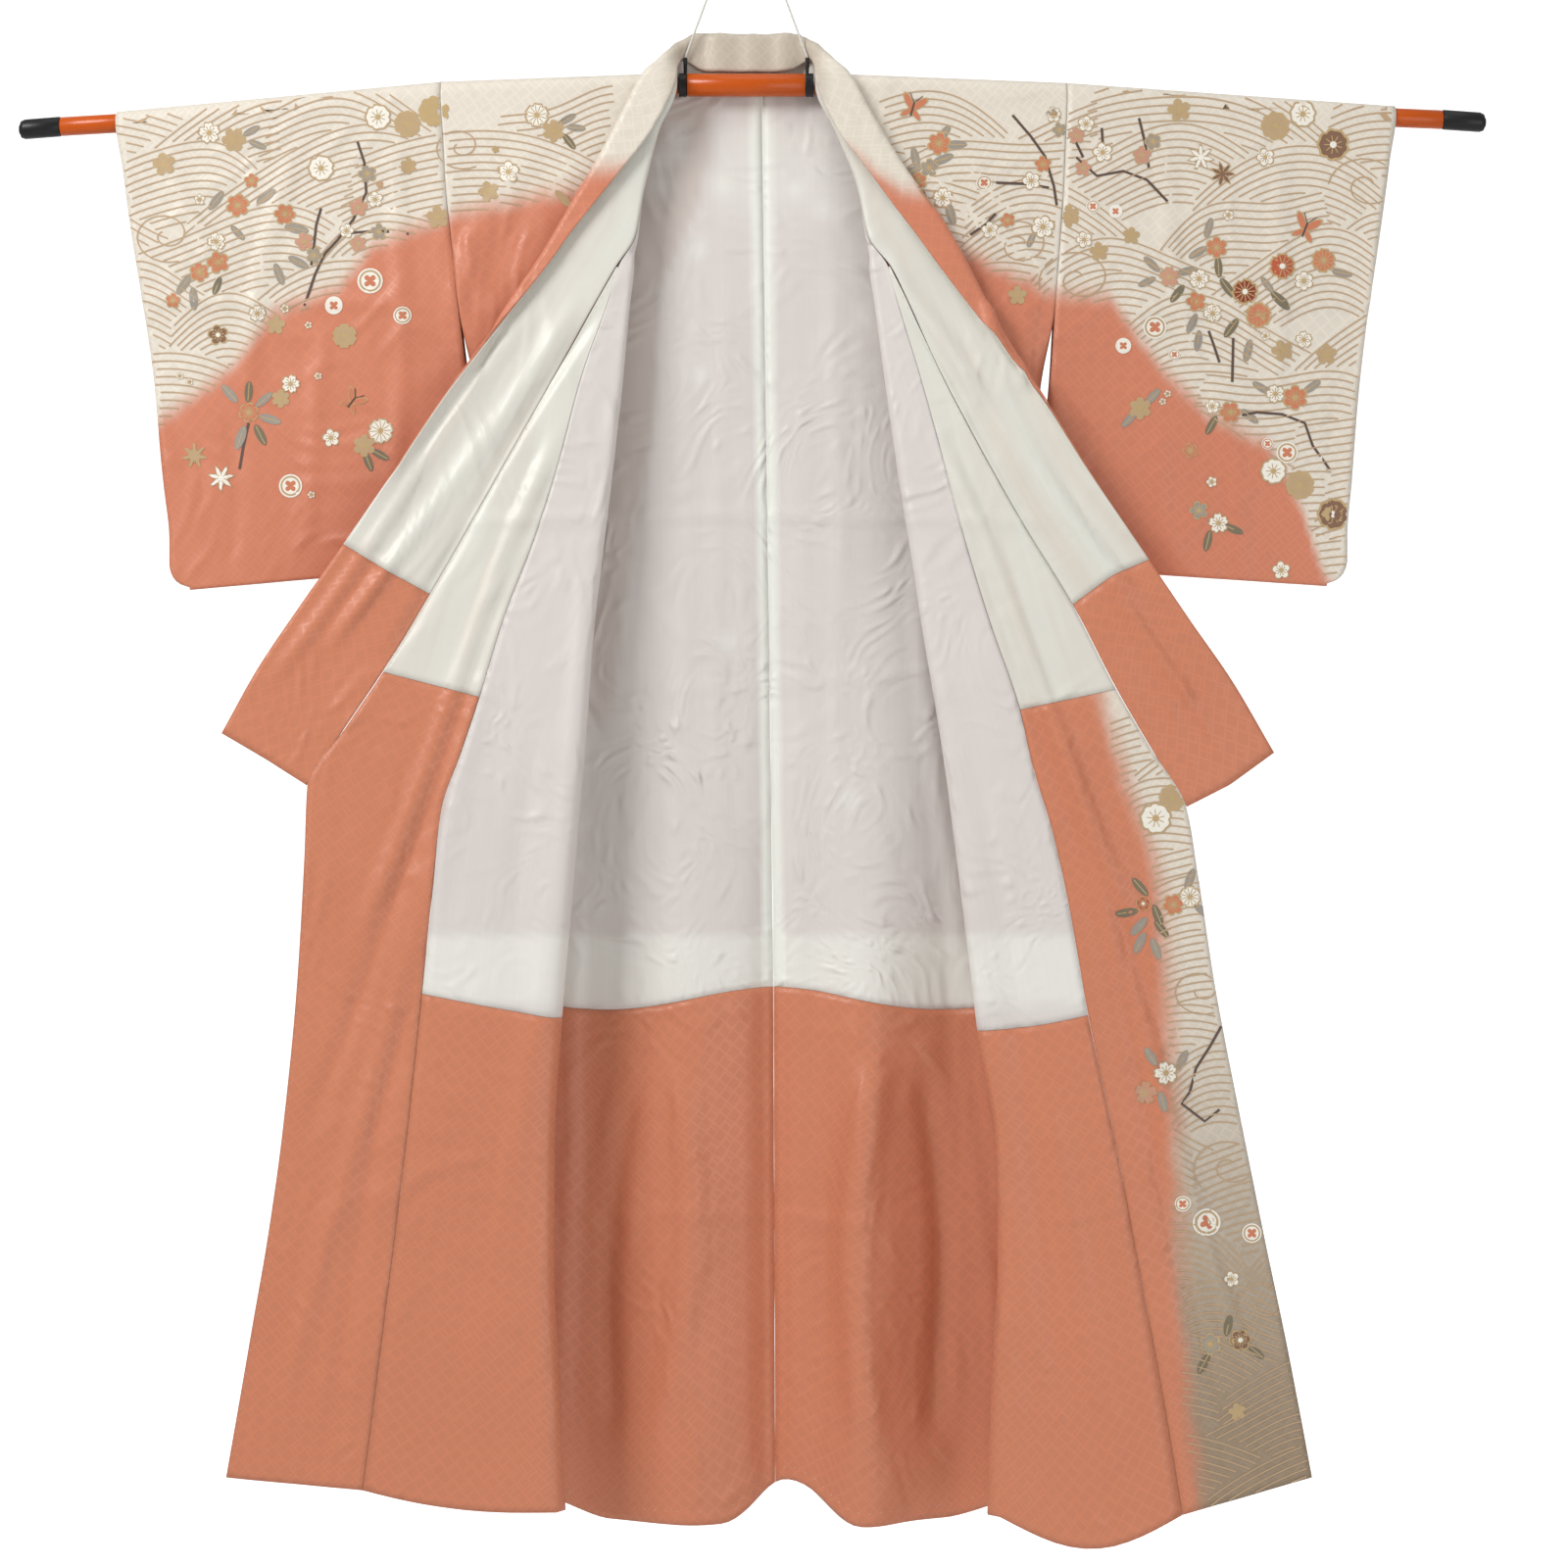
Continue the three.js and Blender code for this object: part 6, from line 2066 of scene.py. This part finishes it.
class KIMONO_OT_waves(bpy.types.Operator):
    """Draws the fine wave lines on the cream silk"""

    bl_idname = "kimono.waves"
    bl_label = "Waves"

    def execute(self, context):
        lines = [line for field in wave_fields() for line in field]
        lines += [swirl(*place) for place in SWIRLS]
        for number, window in enumerate(windows()):
            paint = Paint(window)
            for line in lines:
                if may_hold(window, line):
                    for run in within(window, line):
                        paint.stroke(run, WAVE_WIDTH, "line", 0)
            keep_drawing(window.node, paint.finished(f"waves_{window.node}_{number}", looks()["paint"]))
        return {"FINISHED"}


class KIMONO_OT_flowers(bpy.types.Operator):
    """Paints the flowers, leaves, branches, butterflies and small treasures"""

    bl_idname = "kimono.flowers"
    bl_label = "Flowers"

    def execute(self, context):
        for number, window in enumerate(windows()):
            paint = Paint(window)
            for branch in BRANCHES:
                if may_hold(window, branch):
                    paint.stroke(branch, BRANCH_WIDTH, "wood", 1)
            for (kind, colour), places in PATTERN.items():
                for x, y, radius, turn in places:
                    if may_hold(window, [(x, y)]):
                        draw(paint, kind, x, y, radius, colour, turn)
            keep_drawing(window.node, paint.finished(f"flowers_{window.node}_{number}", looks()["paint"]))
        return {"FINISHED"}


class KIMONO_OT_stitches(bpy.types.Operator):
    """Sews the small stitches along the okumi edges, the sleeve mouths and the hem"""

    bl_idname = "kimono.stitches"
    bl_label = "Stitches"

    def execute(self, context):
        sewing = context.scene.kimono_sewing
        sizes = {"Pitch": sewing.pitch, "Length": sewing.stitch, "Thickness": sewing.thread, "Seed": SEED}
        made = surfaces()
        for side in (LEFT, RIGHT):
            name, facing = side["name"], -side["sign"]
            okumi, body, sleeve = (made[kind + name] for kind in ("okumi_", "body_", "sleeve_"))
            inside = LINING_PLY[0] - STITCH_LIFT
            outside = SILK_PLY[1] + STITCH_LIFT
            last = len(okumi.points) - 1
            paths = [edge_path(okumi, (0, last), OKUMI_COLUMNS, EDGE_INSET, -facing * inside)]
            mouth = (0, len(sleeve.points) - 1)
            paths.append(edge_path(sleeve, mouth, SLEEVE_COLUMNS, EDGE_INSET, facing * outside))
            hem = body.points[HEM_ROW] + body.normals[HEM_ROW] * facing * inside
            paths.append(hem[:BACK_COLUMNS])
            stitched("stitches_" + name, paths, sizes)
        collar = made["collar"]
        rows = [collar.index[collar.middle + end] for end in (-len(NECK_COLLAR), len(NECK_COLLAR))]
        path = edge_path(collar, rows, COLLAR_COLUMNS[0] + 1, 2 * EDGE_INSET, OVER_PLY[1] + STITCH_LIFT)
        stitched("stitches_over_collar", [path], sizes)
        return {"FINISHED"}


class KIMONO_OT_hanger(bpy.types.Operator):
    """Turns the hanger's tube, arms, brackets and caps, and makes its knobs black"""

    bl_idname = "kimono.hanger"
    bl_label = "Hanger"

    def execute(self, context):
        orange, black = looks()["orange"], looks()["black"]
        tube = [(-TUBE_HALF, 0, TUBE_RADIUS), (TUBE_HALF, 0, TUBE_RADIUS)]
        turned_rod("tube", tube, orange)
        for side in (LEFT, RIGHT):
            name, sign = side["name"], side["sign"]
            bracket = [
                (sign * (TUBE_HALF + SEAM_GAP), 0, BRACKET_RADIUS),
                (sign * (BRACKET_HALF - BRACKET_GROOVE), 0, BRACKET_RADIUS - GROOVE_DEPTH),
                (sign * BRACKET_HALF, 0, BRACKET_RADIUS),
            ]
            turned_rod("bracket_" + name, bracket, black)
            start = BRACKET_HALF + 3 * SEAM_GAP
            cap_out, cap_fall = side["cap"]
            stops = [(sign * start, arm_fall(side, start), ARM_RADIUS)]
            stops += [(sign * out, fall, ARM_RADIUS) for out, fall in list(zip(*side["arm"].values()))[1:3]]
            stops.append((sign * cap_out, cap_fall, ARM_RADIUS))
            turned_rod("arm_" + name, stops, orange)
            tip, tip_fall = side["arm"]["out"][-1], side["arm"]["fall"][-1]
            cap = [
                (sign * (cap_out + SEAM_GAP), cap_fall, CAP_RADIUS),
                (sign * (tip - 6), tip_fall - 0.4, CAP_RADIUS),
                (sign * (tip - 2), tip_fall - 0.1, 0.85 * CAP_RADIUS),
                (sign * tip, tip_fall, 0.55 * ARM_RADIUS),
            ]
            turned_rod("end_cap_" + name, cap, black)
            post = FRAME["nodes"]["cord_post_" + name]
            post.data.materials.clear()
            post.data.materials.append(black)
        return {"FINISHED"}


class KIMONO_OT_sheets(bpy.types.Operator):
    """Goes over every piece of cloth with what is drawn on it, and states nothing"""

    bl_idname = "kimono.sheets"
    bl_label = "Cut of the cloth"

    def execute(self, context):
        for node, (thing, flat, area) in CLOTHS.items():
            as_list(DRAWINGS.get(node, []))
        return {"FINISHED"}


class KIMONO_PT_panel(bpy.types.Panel):
    """The kimono's settings, and its pieces in the order in which they are made"""

    bl_label = "Kimono"
    bl_idname = "KIMONO_PT_panel"
    bl_space_type = "VIEW_3D"
    bl_region_type = "UI"
    bl_category = "Kimono"

    def draw(self, context):
        for group in ("kimono_dyes", "kimono_sewing", "kimono_studio"):
            settings = getattr(context.scene, group)
            for name in settings.__annotations__:
                self.layout.prop(settings, name)
        for operator in OPERATORS:
            self.layout.operator(operator.bl_idname)


GROUPS = {"kimono_dyes": KimonoDyes, "kimono_sewing": KimonoSewing, "kimono_studio": KimonoStudio}
OPERATORS = (
    KIMONO_OT_studio, KIMONO_OT_hanging_cord, KIMONO_OT_body, KIMONO_OT_okumi, KIMONO_OT_sleeves,
    KIMONO_OT_collar, KIMONO_OT_waves, KIMONO_OT_flowers, KIMONO_OT_stitches, KIMONO_OT_hanger,
    KIMONO_OT_sheets,
)


def register():
    for made in (*GROUPS.values(), *OPERATORS, KIMONO_PT_panel):
        bpy.utils.register_class(made)
    for name, group in GROUPS.items():
        setattr(bpy.types.Scene, name, bpy.props.PointerProperty(type=group))


def unregister():
    for name in GROUPS:
        delattr(bpy.types.Scene, name)
    for made in (KIMONO_PT_panel, *reversed(OPERATORS), *GROUPS.values()):
        bpy.utils.unregister_class(made)


def main():
    register()
    bpy.ops.kimono.studio()
    bpy.ops.kimono.hanging_cord()
    bpy.ops.kimono.body()
    bpy.ops.kimono.okumi()
    bpy.ops.kimono.sleeves()
    bpy.ops.kimono.collar()
    bpy.ops.kimono.waves()
    bpy.ops.kimono.flowers()
    bpy.ops.kimono.stitches()
    bpy.ops.kimono.hanger()
    bpy.ops.kimono.sheets()


if __name__ == "__main__":
    main()
